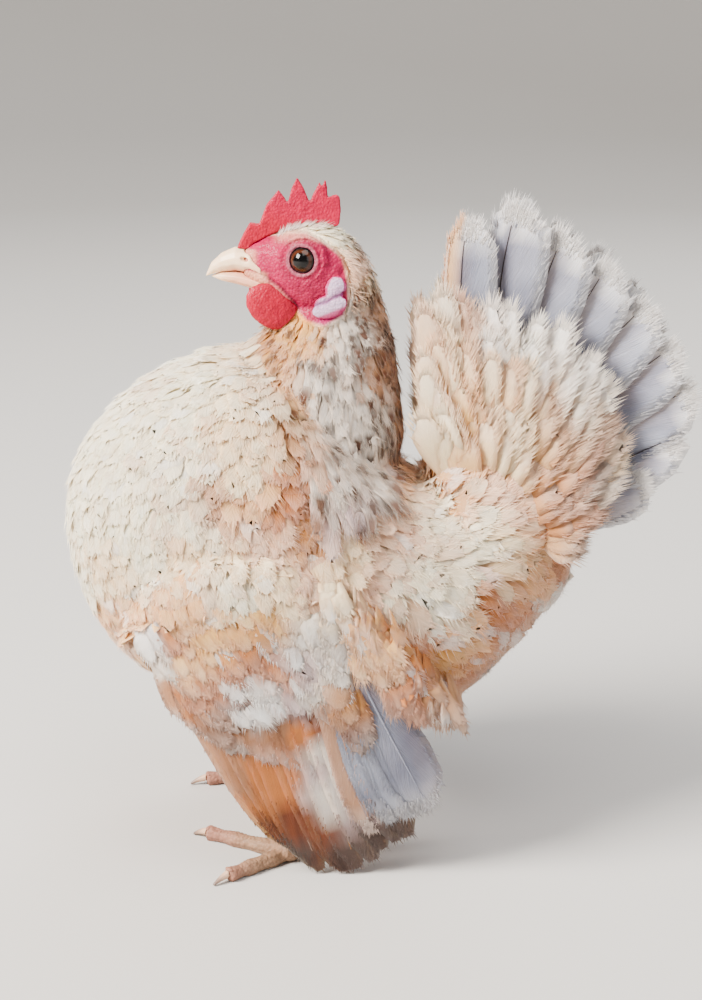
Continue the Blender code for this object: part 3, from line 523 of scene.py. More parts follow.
class Bundle:
    """Gathers many small closed shapes with their colours and maps, and makes one mesh of them."""

    def __init__(self, softness):
        self.softness = softness
        self.points, self.colours, self.patch, self.vane, self.leans = [], [], [], [], []
        self.faces = []
        self.count = 0

    def add(self, points, faces, colours, spots, local, leans):
        """Shapes of equal build: points n by k by 3, faces by corner numbers, a spot on the skin each, and
        the ways that their shading leans."""
        n, k = points.shape[:2]
        starts = self.count + np.arange(n) * k
        for face in faces:
            self.faces.append(starts[:, None] + np.array(face)[None, :])
        self.points.append(points.reshape(-1, 3))
        self.colours.append(colours.reshape(-1, 3))
        across = np.stack(((local[..., 0] + 1.0) / 2.0, np.clip(local[..., 1], 0.0, 1.0)), axis=-1)
        self.patch.append((spots[:, None, :] + across * PATCH_SIZE).reshape(-1, 2))
        self.vane.append(local.reshape(-1, 2))
        self.leans.append(np.broadcast_to(leans, points.shape).reshape(-1, 3))
        self.count += n * k

    def mesh(self, name):
        points = np.concatenate(self.points) * MM
        points[:, 2] = np.maximum(points[:, 2], 0.0)
        totals = np.concatenate([np.full(len(f), f.shape[1]) for f in self.faces])
        corners = np.concatenate([f.ravel() for f in self.faces]).astype(np.int32)
        starts = np.concatenate(([0], np.cumsum(totals)[:-1])).astype(np.int32)
        made = bpy.data.meshes.new(name)
        made.vertices.add(len(points))
        made.vertices.foreach_set("co", points.astype(np.float32).ravel())
        made.loops.add(len(corners))
        made.loops.foreach_set("vertex_index", corners)
        made.polygons.add(len(totals))
        made.polygons.foreach_set("loop_start", starts)
        made.update(calc_edges=True)
        for layer, rows in (("OFBake", self.patch), ("Vane", self.vane)):
            places = np.concatenate(rows)[corners]
            made.uv_layers.new(name=layer).data.foreach_set("uv", places.astype(np.float32).ravel())
        paint(made, np.concatenate(self.colours))
        made.shade_smooth()
        flats = np.empty(len(totals) * 3)
        made.polygon_normals.foreach_get("vector", flats)
        flats = np.repeat(flats.reshape(-1, 3), totals, axis=0)
        leans = np.concatenate(self.leans)[corners]
        soft = unit(normals_of(made)[corners] * (1.0 - self.softness) + leans * self.softness)
        meets = (flats * soft).sum(axis=1, keepdims=True)
        made.normals_split_custom_set(np.where(meets > 0.15, soft, flats).astype(np.float32))
        return made


def unwrap(points):
    """Each place on an unwrap of the skin: trunk round its length, then neck and head round their height."""
    x, y, z = points[:, 0], points[:, 1], points[:, 2]
    trunk = np.stack((np.arctan2(y, z - 88.0) / math.tau + 0.5, (x + 92.0) / 190.0 * 0.48), axis=-1)
    middle = -19.0 + (z - 120.0) * 0.12
    neck = np.stack((np.arctan2(y, x - middle) / math.tau + 0.5, 0.5 + (z - 95.0) / 110.0 * 0.48), axis=-1)
    upper = (z > 112.0) & (x > -50.0) & (x < 12.0)
    return np.clip(np.where(upper[:, None], neck, trunk), 0.0, 0.996)


# feathers


def web_shares(columns, webs):
    """Where each column lies across a feather whose two webs may be unlike: shares of its half width."""
    u = np.linspace(-1.0, 1.0, columns)
    return np.where(u < 0, u * webs[0], u * webs[1])


def lay_vanes(bundle, centres, outs, halves, cup, thickness, colours, columns, ragged, webs=(1.0, 1.0)):
    """Closed feather vanes. centres and outs are n by rows by 3, halves n by rows, colours n by rows by
    columns by 3. The edges and the tip are ragged by a share of the half width."""
    n, rows = halves.shape
    runs = np.gradient(centres, axis=1)
    runs = unit(runs)
    sides = unit(np.cross(runs, outs))
    faces_out = unit(np.cross(sides, runs))
    u = np.linspace(-1.0, 1.0, columns)
    wide = halves[:, :, None] * web_shares(columns, webs)[None, None, :]
    slip = DRAW.normal(0.0, 1.0, (n, rows, columns)) * ragged * np.abs(u)[None, None, :]
    slip[:, 0] = 0.0
    slip[:, -1] += DRAW.normal(0.0, 0.8, (n, columns)) * ragged
    slip = slip * halves.max(axis=1)[:, None, None]
    bowl = cup * DRAW.uniform(0.2, 1.5, n)
    dip = -(bowl * halves.max(axis=1))[:, None, None] * (u ** 2)[None, None, :]
    top = centres[:, :, None] + sides[:, :, None] * wide[..., None] + runs[:, :, None] * slip[..., None]
    top = top + faces_out[:, :, None] * dip[..., None]
    low = centres - faces_out * thickness
    ring = np.concatenate((top, low[:, :, None]), axis=2)
    k = columns + 1
    faces = []
    for r in range(rows - 1):
        for j in range(k):
            m = (j + 1) % k
            faces.append((r * k + j, r * k + m, (r + 1) * k + m, (r + 1) * k + j))
    faces.append(tuple(range(k - 1, -1, -1)))
    faces.append(tuple((rows - 1) * k + j for j in range(k)))
    shades = np.concatenate((colours, colours[:, :, columns // 2, None]), axis=2)
    upper = np.repeat(faces_out[:, :, None], columns, axis=2)
    leans = np.concatenate((upper, -faces_out[:, :, None]), axis=2)
    v = np.linspace(0.0, 1.0, rows)
    local = np.zeros((n, rows, k, 2))
    local[..., :columns, 0] = u
    local[..., 1] = v[None, :, None]
    bundle.add(ring.reshape(n, rows * k, 3), faces, shades.reshape(n, rows * k, 3), unwrap(centres[:, 0]),
               local.reshape(n, rows * k, 2), leans.reshape(n, rows * k, 3))
    return runs, sides, faces_out


def lay_barbs(bundle, starts, ways, outs, reach, thick, shades, spots):
    """Loose barbs: thin spikes of four faces from each start."""
    m = len(starts)
    across = unit(np.cross(ways, outs))
    thick, reach = thick[:, None], reach[:, None]
    points = np.stack((starts - across * thick, starts + outs * thick * 0.5, starts + across * thick,
                       starts + ways * reach), axis=1)
    local = np.zeros((m, 4, 2))
    local[:, 3, 1] = 1.0
    local[:, :, 0] = 0.4
    bundle.add(points, [(0, 1, 3), (1, 2, 3), (2, 0, 3), (0, 2, 1)],
               paintable(np.repeat(shades[:, None], 4, axis=1)), spots, local, outs[:, None])


def fray(bundle, centres, frame_of, halves, colours, each, shares, length, width, webs=(1.0, 1.0), lean=0.5,
         lift=-0.02):
    """Barbs along the edges and tip of vanes, between two shares of their length, in the vane's plane."""
    runs, sides, outs = frame_of
    n, rows = halves.shape
    columns = colours.shape[2]
    m = n * each
    pick = np.repeat(np.arange(n), each)
    share = (shares[0] + (shares[1] - shares[0]) * DRAW.uniform(0.0, 1.0, m) ** 0.7) * (rows - 1)
    low = np.minimum(share.astype(int), rows - 2)
    t = (share - low)[:, None]

    def at(rows_of):
        return mix(rows_of[pick, low], rows_of[pick, low + 1], t)

    u = DRAW.choice((-1.0, 1.0), m) * DRAW.uniform(0.72, 0.99, m)
    end = share > (rows - 1) * 0.92
    u[end] *= DRAW.uniform(0.0, 1.0, end.sum())
    half = mix(halves[pick, low], halves[pick, low + 1], t[:, 0])
    run, side, out = at(runs), at(sides), at(outs)
    web = np.where(u < 0, webs[0], webs[1])
    starts = at(centres) + side * (half * u * web)[:, None] - run * 0.25
    aside = side * (u * lean * DRAW.uniform(0.6, 1.4, m))[:, None]
    ways = unit(run + aside + out * DRAW.normal(lift, 0.05, (m, 1)))
    column = np.clip(((u + 1) / 2 * (columns - 1)).round().astype(int), 0, columns - 1)
    shade = colours[pick, np.minimum(low + 1, rows - 1), column] * DRAW.uniform(0.96, 1.08, (m, 1))
    reach = length * DRAW.uniform(0.5, 1.25, m) * halves.max(axis=1)[pick]
    lay_barbs(bundle, starts, ways, out, reach, width * DRAW.uniform(0.7, 1.3, m) / 2, shade,
              unwrap(centres[:, 0])[pick])


# wing plane


def torso_side():
    """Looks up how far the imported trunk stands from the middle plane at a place."""
    tree, _, _ = tree_of(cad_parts["torso"].data)
    known = {}

    def reach(x, z):
        key = (round(x * 2), round(z * 2))
        if key not in known:
            hit = tree.ray_cast(Vector((x, 120.0, z)), Vector((0, -1, 0)))[0]
            known[key] = hit.y if hit else 0.0
        return known[key]

    return reach


TORSO_REACH = torso_side()


def wing_side(x, z):
    """How far the hanging wing's inner face stands from the middle plane."""
    hang = mix(36.0, 44.6, float(smooth_step(z, -8.0, 62.0)))
    hang -= 13.0 * float(smooth_step(-x, 34.0, 78.0))
    return max(hang, TORSO_REACH(x, z)) + 0.6


# skin


def outline_depth(points, outline):
    """How far inside a closed outline, seen from the side, each place is, and below zero outside it."""
    outline = np.array(outline)
    flat = points[:, (0, 2)]
    best = np.full(len(flat), 1e9)
    inside = np.zeros(len(flat), bool)
    for a, b in zip(outline, np.roll(outline, -1, axis=0)):
        edge = b - a
        t = np.clip(((flat - a) @ edge) / (edge @ edge), 0.0, 1.0)
        best = np.minimum(best, np.linalg.norm(flat - (a + t[:, None] * edge), axis=1))
        crosses = (a[1] > flat[:, 1]) != (b[1] > flat[:, 1])
        if abs(b[1] - a[1]) > 1e-9:
            where = a[0] + (flat[:, 1] - a[1]) / (b[1] - a[1]) * edge[0]
            inside ^= crosses & (flat[:, 0] < where)
    return np.where(inside, best, -best)


def face_depth(points):
    """How far inside the bare face's outline each place is."""
    return outline_depth(points, FACE_OUTLINE)


def eye_frame(points):
    """Distance along and away from the nearer eye's gaze, with the turn about it."""
    side = np.where(points[:, 1] < 0, -1.0, 1.0)
    gaze = unit(np.array(EYE_LOOKS)[None] * np.stack((side * 0 + 1, side, side * 0 + 1), axis=1))
    centre = np.stack((side * 0 + EYE_CENTRE[0], side * EYE_CENTRE[1], side * 0 + EYE_CENTRE[2]), axis=1)
    away = points - centre
    depth = (away * gaze).sum(axis=1)
    flat = away - gaze * depth[:, None]
    return depth, np.linalg.norm(flat, axis=1), np.arctan2(flat[:, 2], flat[:, 0])


def coat_depth(points):
    """How deep the coat lies over the skin, in millimetres; nothing on the bare face."""
    z = points[:, 2]
    depth = mix(2.5, 2.2, smooth_step(z, 118.0, 145.0) * (points[:, 0] > -50.0))
    depth = mix(depth, 1.1, smooth_step(z, 150.0, 162.0))
    depth = mix(depth, 1.9, 1.0 - smooth_step(z, 30.0, 52.0))
    bare = smooth_step(face_depth(points), -1.2, 0.3) * (z > HEAD_FOOT)
    return depth * (1.0 - bare)


def patchwork(points, patches, drift=4.0, seed=3):
    """The colour of the nearest patches at each place, with wandering edges."""
    flat = points[:, (0, 2)]
    wander = np.stack((clouds(points, 9.0, seed), clouds(points, 9.0, seed + 1)), axis=1)
    fine = np.stack((clouds(points, 3.5, seed + 2), clouds(points, 3.5, seed + 3)), axis=1)
    flat = flat + wander * drift + fine * drift * 0.5
    spots = np.array([p[:2] for p in patches], float)
    tints = np.array([TINT[p[2]] for p in patches])
    gap = ((flat[:, None] - spots[None]) ** 2).sum(axis=2)
    weight = 1.0 / (gap + 3.0) ** 2.6
    return (weight @ tints) / weight.sum(axis=1, keepdims=True)


def plumage(points):
    """The coat's colour at each place: white breast, buff and orange mottling, silver hackle."""
    body = patchwork(points, COAT_PATCHES)
    neck = patchwork(points, NECK_PATCHES, 2.0, 8)
    x, z = points[:, 0], points[:, 2]
    upper = smooth_step(z, 128.0, 140.0) * (x < 10.0) * (np.abs(points[:, 1]) < 24.0)
    return mix(body, neck, upper[:, None])


COAT_PATCHES = (
    # x, height, colour: how the mottling lies over the trunk, as a painter would note it, with the rump's
    # underside painted darker as painted shade
    (-80, 110, "ivory"), (-85, 92, "ivory"), (-70, 125, "ivory"), (-58, 135, "ivory"),
    (-45, 139, "ivory"), (-60, 112, "ivory"), (-61, 101, "ivory"), (-48, 126, "ivory"),
    (-74, 97, "cream"), (-76, 80, "buff"), (-67, 86, "buff"), (-72, 72, "blush"), (-52, 104, "cream"),
    (-47, 113, "ivory"), (-40, 131, "cream"), (-43, 121, "tan"), (-37, 126, "cream"),
    (-33, 118, "buff"), (-28, 118, "orange"), (-24, 110, "amber"), (-31, 109, "blush"),
    (-37, 104, "cream"), (-23, 101, "blush"), (-42, 95, "ivory"), (-31, 95, "cream"),
    (-20, 92, "blush"), (-52, 90, "buff"), (-40, 86, "gold"), (-31, 80, "gold"), (-21, 84, "silver"),
    (-12, 86, "cream"), (-52, 80, "buff"), (-57, 64, "gold"), (-45, 55, "gold"), (-20, 50, "tan"),
    (-13, 100, "cream"), (-6, 94, "blush"), (0, 103, "blush"), (7, 105, "ivory"), (14, 109, "buff"),
    (2, 93, "ivory"), (18, 95, "ivory"), (6, 81, "orange"), (9, 86, "ivory"), (13, 80, "buff"),
    (22, 85, "orange"), (29, 82, "orange"), (26, 94, "cream"), (16, 66, "orange"), (3, 72, "buff"),
    # (21, 56), (35, 70) and (30, 60) here, and (41, 63) further down: tan and taupe as painted shade on the
    # rump's underside
    (9, 74, "gold"), (21, 56, "tan"), (35, 70, "tan"), (30, 60, "taupe"), (12, 113, "buff"),
    (0, 50, "taupe"), (36, 91, "buff"), (42, 118, "buff"), (48, 108, "orange"), (53, 101, "amber"),
    (57, 91, "taupe"), (47, 83, "silver"), (54, 76, "silver"), (35, 114, "buff"), (26, 127, "gold"),
    (18, 138, "cream"), (32, 132, "gold"), (21, 114, "buff"), (48, 129, "buff"), (60, 131, "taupe"),
    (56, 118, "tan"), (41, 100, "buff"), (45, 91, "orange"), (-64, 76, "buff"), (-66, 66, "gold"),
    (41, 63, "taupe"), (-68, 78, "cream"), (30, 103, "blush"), (10, 60, "orange"),
)
NECK_PATCHES = (
    (-20, 154, "gold"), (-25, 150, "amber"), (-29, 146, "gold"), (-24, 142, "buff"),
    (-15, 145, "silver"), (-8, 139, "silver"), (-7, 151, "silver"), (-1, 147, "tan"), (3, 161, "tan"),
    (-1, 170, "cream"), (6, 136, "tan"), (7, 126, "tan"), (3, 116, "mauve"), (-5, 116, "silver"),
    (-11, 113, "mauve"), (-8, 106, "amber"), (-15, 107, "mauve"), (-18, 123, "silver"),
    (-12, 131, "silver"), (-21, 126, "blush"), (-24, 116, "orange"), (-3, 106, "rust"), (2, 105, "tan"),
    (-31, 136, "cream"), (-40, 138, "ivory"), (-36, 146, "ivory"), (-45, 130, "ivory"),
    (-12, 160, "silver"), (-20, 176, "ivory"), (-12, 182, "ivory"), (-6, 173, "blush"),
    (-30, 124, "cream"), (-1, 136, "silver"), (-4, 128, "silver"), (-28, 108, "blush"),
    (-10, 110, "silver"), (-2, 112, "taupe"), (7, 113, "taupe"), (-20, 110, "taupe"), (8, 150, "fawn"),
    (6, 165, "fawn"),
)
WING_PATCHES = (
    # x, height, colour; low on the wing the russet, and the umber at the lower tips, are darker partly as
    # painted shade
    (-69, 75, "white"), (-64, 70, "white"), (-60, 66, "silver"), (-57, 62, "silver"),
    (-56, 72, "orange"), (-57, 58, "fawn"), (-48, 56, "orange"), (-52, 65, "buff"), (-41, 63, "orange"),
    (-36, 59, "russet"), (-32, 68, "orange"), (-33, 54, "white"), (-30, 57, "white"),
    (-16, 74, "silver"), (-19, 66, "mauve"), (-15, 60, "silver"), (-20, 57, "mauve"),
    (-11, 66, "silver"), (-5, 73, "taupe"), (-45, 73, "gold"), (-50, 82, "buff"), (-31, 79, "gold"),
    (-40, 85, "cream"), (-20, 92, "blush"), (-12, 84, "cream"), (-24, 62, "orange"), (-27, 47, "fawn"),
    (-21, 47, "orange"), (-17, 49, "russet"), (-13, 38, "silver"), (-15, 32, "mauve"),
    # russet at heights under 20 and the umber at the tips, below: partly painted shade
    (-12, 26, "silver"), (-8, 44, "russet"), (-8, 55, "amber"), (-31, 12, "russet"),
    (-25, 14, "russet"), (-38, 44, "fawn"), (-43, 49, "fawn"), (-38, 29, "fawn"), (-34, 23, "orange"),
    (-31, 35, "orange"), (-27, 29, "orange"), (-21, 19, "russet"), (-15, 11, "russet"),
    (-22, 7, "umber"), (-9, 10, "umber"), (-5, 21, "mauve"), (-2, 13, "umber"), (6, 19, "umber"),
    (-6, 31, "mauve"), (0, 40, "taupe"), (-60, 90, "cream"), (-46, 92, "gold"), (-33, 92, "cream"),
)


def gape_fold(points):
    """The crease that runs back from the mouth's corner above the wattle, and the soft roll below it."""
    flat = points[:, (0, 2)]
    line = np.array(GAPE_LINE)
    best, under = np.full(len(flat), 1e9), np.zeros(len(flat))
    for a, b in zip(line[:-1], line[1:]):
        edge = b - a
        t = np.clip(((flat - a) @ edge) / (edge @ edge), 0.0, 1.0)
        away = flat - (a + t[:, None] * edge)
        gap = np.linalg.norm(away, axis=1)
        nearer = gap < best
        best = np.where(nearer, gap, best)
        under = np.where(nearer, -(away @ np.array((-edge[1], edge[0]))) / np.linalg.norm(edge), under)
    return np.exp(-(best / 0.38) ** 2), np.exp(-((under - 1.25) / 0.8) ** 2) * (best < 3.0)


def flesh_paint(points):
    """Skin colours: crimson round the eye and cheek, pink below the ear lobe, and the coat's own under it."""
    _, away, _ = eye_frame(points)
    bare = smooth_step(face_depth(points), -0.6, 0.8) * (points[:, 2] > HEAD_FOOT)
    shade = mix(TINT["face"], TINT["face_deep"], (smooth_step(-away, -8.0, -4.6) * 0.5)[:, None])
    speckle = np.zeros(len(points))
    head = points[:, 2] > HEAD_FOOT
    speckle[head] = clouds(points[head], 3.0, 2)
    x, z = points[:, 0], points[:, 2]
    cheek = smooth_step(x, -24.0, -12.0) * smooth_step(-z, -172.0, -164.0)
    shade = mix(shade, TINT["face_deep"], (0.55 * cheek)[:, None])
    brow = smooth_step(z + 0.25 * np.abs(x + 19.0), 178.0, 181.5) * smooth_step(x, -29.5, -25.0)
    shade = mix(shade, TINT["blush"], (0.45 * brow)[:, None])
    shade = shade * (1.0 + 0.22 * speckle)[:, None]
    gape, below = gape_fold(points)
    shade = mix(shade, TINT["horn_pink"] * 0.8, (below * 0.45)[:, None])
    # the crease itself is painted dark: painted shade in the crease
    shade = mix(shade, TINT["face_deep"] * 0.4, (gape * 0.75)[:, None])
    rim = smooth_step(-(z - 0.45 * (x + 13.0)), -158.6, -157.0) * smooth_step(x, -21.0, -18.0)
    shade = mix(shade, TINT["rim"], rim[:, None])
    crest = smooth_step(z - (-0.52 * x + 163.5), -1.5, 1.5)
    front = smooth_step(-x, 27.0, 31.0)
    shade = mix(shade, TINT["comb"], (crest * front)[:, None])
    wax = smooth_step(-x, 32.0, 34.5) * smooth_step(-np.abs(z - 173.0), -2.4, -1.4)
    shade = mix(shade, TINT["horn_pink"], (0.7 * wax)[:, None])
    horn = smooth_step(-x, 29.0, 32.0) * smooth_step(-np.abs(z - 166.5), -3.2, -2.0)
    shade = mix(shade, TINT["horn_pink"], horn[:, None])
    shade = mix(shade, TINT["lid"], (smooth_step(-away, -4.9, -4.2))[:, None])
    return mix(plumage(points) * 0.97, shade, bare[:, None])


def make_skin():
    """The bare body: flesh nodes, the tail's cushion and the wings' arms in one, as deep as the coat lies."""
    parts = [node_copy(n, NODE_SWELL) for n in FLESH_NODES]
    angles = np.linspace(0.0, math.tau, 16, endpoint=False)
    rings = [[(x + math.cos(a) * deep, math.sin(a) * wide, z) for a in angles]
             for x, z, deep, wide in TAIL_CORE]
    parts.append(loft(rings, (34.0, 0.0, 78.0), (46.0, 0.0, 143.0)))
    for side in SIDES.values():
        rings = []
        for share in np.linspace(0.0, 1.0, 9):
            x, z = along(WING_ARM, share)
            swell = math.sin(math.pi * (0.12 + 0.76 * share)) ** 0.6
            middle = wing_side(x, z) - 0.4
            rings.append([(x, side * (middle + math.cos(a) * 4.4 * swell), z + math.sin(a) * 10.0 * swell)
                          for a in angles])
        first = np.mean(rings[0], axis=0) + (-1.5, 0, 0)
        last = np.mean(rings[-1], axis=0) + (2.0, 0, 0)
        parts.append(loft(rings, tuple(first), tuple(last)))
    mesh = fused("skin", parts, SKIN_VOXEL, 6, (0.25, lambda p: p[:, 2] < HEAD_FOOT))
    points, normals = points_of(mesh), normals_of(mesh)
    _, away, turn = eye_frame(points)
    points = points - normals * (coat_depth(points) + NODE_SWELL * 0.55)[:, None]
    bare = smooth_step(face_depth(points), 0.0, 1.2) * (points[:, 2] > 152.0)
    ripple = np.sin(away * math.tau / 1.15 + 0.8 * np.sin(turn * 3.0)) * 0.11
    ripple = ripple * smooth_step(away, 4.6, 5.4) * (1.0 - smooth_step(away, 7.5, 10.0))
    head = points[:, 2] > HEAD_FOOT
    folds = np.zeros(len(points))
    folds[head] = clouds(points[head], 2.2, 6) * 0.16
    gape, below = gape_fold(points)
    roll = np.where(points[:, 2] > 154.0, 0.30 * below - 0.45 * gape, 0.0)
    points = points + normals * ((ripple + folds + roll) * bare)[:, None]
    move_points(mesh, points)
    paint(mesh, flesh_paint(points))
    return mesh


SKIN = make_skin()
finish_object("skin", SKIN, "face", FLESH_NODES)
SKIN_TREE, SKIN_POINTS, SKIN_TRIANGLES = tree_of(SKIN)


# coat

LIE = (
    # x, height, then the way that feathers lie there, seen from the left
    (-60.0, 143.0, -0.75, -0.7), (-80.0, 124.0, -0.5, -1.0), (-88.0, 98.0, 0.1, -1.0),
    (-80.0, 70.0, 0.45, -1.0), (-60.0, 48.0, 0.9, -0.6), (-30.0, 41.0, 1.0, -0.2),
    (-45.0, 120.0, -0.15, -1.0), (-60.0, 100.0, 0.15, -1.0), (-42.0, 146.0, -0.55, -0.9),
    (-45.0, 132.0, -0.35, -1.0), (-30.0, 132.0, -0.1, -1.0), (-60.0, 122.0, -0.25, -1.0),
    (-15.0, 125.0, 0.15, -1.0), (0.0, 115.0, 0.5, -0.7), (-40.0, 90.0, 0.35, -1.0),
    (-20.0, 75.0, 0.5, -1.0), (-15.0, 100.0, 0.45, -1.0), (5.0, 95.0, 0.9, -0.5),
    (8.0, 75.0, 0.7, -1.0), (20.0, 105.0, 1.0, 0.35), (32.0, 118.0, 0.45, 1.0),
    (48.0, 120.0, 0.75, 0.9), (30.0, 96.0, 1.0, 0.25), (52.0, 100.0, 1.0, 0.25),
    (48.0, 80.0, 0.9, -0.6), (40.0, 62.0, 0.75, -0.9), (15.0, 50.0, 0.7, -0.9), (25.0, 75.0, 0.9, -0.6),
    (0.0, 40.0, 0.5, -0.9), (22.0, 135.0, 0.1, 1.0), (55.0, 135.0, 0.7, 0.8),
)
NECK_LIE = (
    (-20.0, 183.0, 1.0, 0.1), (-12.0, 180.0, 1.0, -0.35), (-6.0, 174.0, 0.6, -0.9),
    (-1.0, 166.0, 0.3, -1.0), (3.0, 155.0, 0.2, -1.0), (8.0, 135.0, 0.05, -1.0),
    (4.0, 110.0, -0.1, -1.0), (-24.0, 153.0, -0.2, -1.0), (-38.0, 143.0, -0.45, -1.0),
    (-46.0, 125.0, -0.25, -1.0), (-20.0, 130.0, 0.0, -1.0), (-20.0, 105.0, 0.1, -1.0),
)


def lie_at(points, normals, anchors):
    """The way that feathers lie at each place: near anchors' ways, laid along the skin."""
    spots = np.array([a[:2] for a in anchors])
    ways = np.array([a[2:] for a in anchors])
    ways = ways / np.linalg.norm(ways, axis=1, keepdims=True)
    gap = ((points[:, None, (0, 2)] - spots[None]) ** 2).sum(axis=2)
    weight = 1.0 / (gap + 12.0) ** 1.7
    flat = (weight[:, :, None] * ways[None]).sum(axis=1)
    way = np.stack((flat[:, 0], np.zeros(len(points)), flat[:, 1]), axis=1)
    way = way - normals * (way * normals).sum(axis=1, keepdims=True)
    return unit(way)


def flesh_labels():
    """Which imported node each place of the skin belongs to."""
    corners, triangles, labels = [], [], []
    for number, name in enumerate(FLESH_NODES):
        _, points, faces = tree_of(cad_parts[name].data)
        triangles += (faces + len(corners)).tolist()
        corners += points.tolist()
        labels += [number] * len(faces)
    return BVHTree.FromPolygons(corners, triangles), labels


def throw_roots():
    """Roots of the feathers, evenly spread over the feathered skin, and the tract of each."""
    corners = SKIN_POINTS[SKIN_TRIANGLES]
    areas = np.linalg.norm(np.cross(corners[:, 1] - corners[:, 0], corners[:, 2] - corners[:, 0]), axis=1)
    picks = DRAW.choice(len(areas), ROOT_THROWS, p=areas / areas.sum())
    a, b = DRAW.uniform(0, 1, (2, len(picks), 1))
    flip = a + b > 1
    a, b = np.where(flip, 1 - a, a), np.where(flip, 1 - b, b)
    tri = corners[picks]
    spots = tri[:, 0] + (tri[:, 1] - tri[:, 0]) * a + (tri[:, 2] - tri[:, 0]) * b
    tree, labels = flesh_labels()
    keep_space = np.empty(len(spots))
    tract = np.empty(len(spots), int)
    depth = face_depth(spots)
    for i, spot in enumerate(spots):
        tract[i] = labels[tree.find_nearest(spot)[2]]
        keep_space[i] = spacing(spot, tract[i])
    cape = outline_depth(spots, CAPE_OUTLINE) + 1.6 * clouds(spots, 5.0, 16) > 0.0
    tract[(tract == TRUNK) & cape] = NECK
    tract[(tract == NECK) & ~cape & (spots[:, 2] < 154.0)] = TRUNK
    bare = (depth > -0.3) & (spots[:, 2] > 152.0) & (tract <= NECK)
    hidden = (tract >= THIGH) & (spots[:, 2] < 33.0)
    keep_space[bare | hidden] = 0.0
    cells, kept = {}, []
    for i, spot in enumerate(spots):
        space = keep_space[i]
        if space == 0.0:
            continue
        cell = tuple(int(c // ROOT_CELL) for c in spot)
        near = [j for dx in (-1, 0, 1) for dy in (-1, 0, 1) for dz in (-1, 0, 1)
                for j in cells.get((cell[0] + dx, cell[1] + dy, cell[2] + dz), ())]
        if all(((spots[j] - spot) ** 2).sum() > space * space for j in near):
            cells.setdefault(cell, []).append(i)
            kept.append(i)
    return spots[kept], tract[kept]


def spacing(spot, label):
    """How far apart feathers grow there."""
    x, _, z = spot
    if label == HEAD:
        return 0.95
    if label == NECK:
        return mix(1.1, 2.15, float(smooth_step(-z, -158.0, -125.0)))
    if label == TRUNK:
        return mix(2.2, 2.5, float(smooth_step(x, -20.0, 15.0)))
    return 2.0


def feather_sizes(roots, tract):
    """Length, half width, rise, raggedness of each root's feather."""
    x, z = roots[:, 0], roots[:, 2]
    length = np.full(len(roots), 10.5)
    half = np.full(len(roots), 2.9)
    rise = np.full(len(roots), 2.3)
    ragged = np.full(len(roots), 0.27)
    rear = smooth_step(x, -12.0, 18.0)
    length = mix(length, 15.5, rear)
    half = mix(half, 3.2, rear)
    rise = mix(rise, 2.9, rear)
    ragged = mix(ragged, 0.34, rear)
    arm = smooth_step(np.abs(roots[:, 1]), 38.0, 42.0)
    arm = arm * smooth_step(z, 82.0, 88.0) * (1 - smooth_step(z, 98.0, 108.0))
    rise = rise + 1.5 * arm * (x < -8.0)
    length = length + 3.0 * arm * (x < -8.0)
    fluff = smooth_step(-z, -72.0, -52.0) * smooth_step(x, -30.0, 0.0)
    length = mix(length, 14.0, fluff)
    half = mix(half, 2.7, fluff)
    ragged = mix(ragged, 0.45, fluff)
    neck = tract == NECK
    drop = smooth_step(-z, -160.0, -118.0)
    length = np.where(neck, mix(5.0, 17.0, drop), length)
    half = np.where(neck, mix(1.0, 2.35, drop), half)
    rise = np.where(neck, mix(1.3, 2.8, drop) + 2.4 * smooth_step(-z, -124.0, -104.0), rise)
    head = tract == HEAD
    length = np.where(head, 4.2, length)
    half = np.where(head, 0.8, half)
    rise = np.where(head, 1.05, rise)
    thigh = tract >= THIGH
    length = np.where(thigh, 8.5, length)
    half = np.where(thigh, 2.2, half)
    rise = np.where(thigh, 1.7, rise)
    vary = DRAW.uniform(0.8, 1.2, len(roots))
    half = half * vary * DRAW.uniform(0.85, 1.15, len(roots))
    return length * vary, half, rise * DRAW.uniform(0.93, 1.07, len(roots)), ragged


BODY_SHARES = np.array((0.0, 0.2, 0.42, 0.64, 0.82, 0.94, 1.0))
BODY_OUTLINE = np.array((0.30, 0.70, 0.95, 1.0, 0.86, 0.58, 0.26))
HACKLE_OUTLINE = np.array((0.35, 0.75, 1.0, 0.98, 0.80, 0.52, 0.22))
BODY_COLUMNS = 5


def trace(roots, length, rise, anchors):
    """The line of each feather over the skin, with the skin's outward way at each row."""
    n, rows = len(roots), len(BODY_SHARES)
    lines = np.empty((n, rows, 3))
    outs = np.empty((n, rows, 3))
    swing = DRAW.normal(0.0, 0.16, (n, 1))
    curl = DRAW.normal(0.0, 0.9, n).clip(-0.5, 2.2)
    spot = roots.copy()
    normal = np.array([SKIN_TREE.find_nearest(p)[1] for p in spot.tolist()])
    last = 0.0
    for r, share in enumerate(BODY_SHARES):
        step = (share - last) * length
        last = share
        way = lie_at(spot, normal, anchors)
        way = unit(way + np.cross(normal, way) * swing)
        if r:
            reach = spot + way * step[:, None]
            found = [SKIN_TREE.find_nearest(p)[:2] for p in reach.tolist()]
            spot = np.array([f[0] for f in found])
            normal = unit(normal * 0.55 + np.array([f[1] for f in found]) * 0.45)
        height = rise * (1.0 - (1.0 - share) ** 1.7) + 0.05 + curl * max(0.0, share - 0.6)
        lines[:, r] = spot + normal * height[:, None]
        outs[:, r] = normal
    return lines, outs


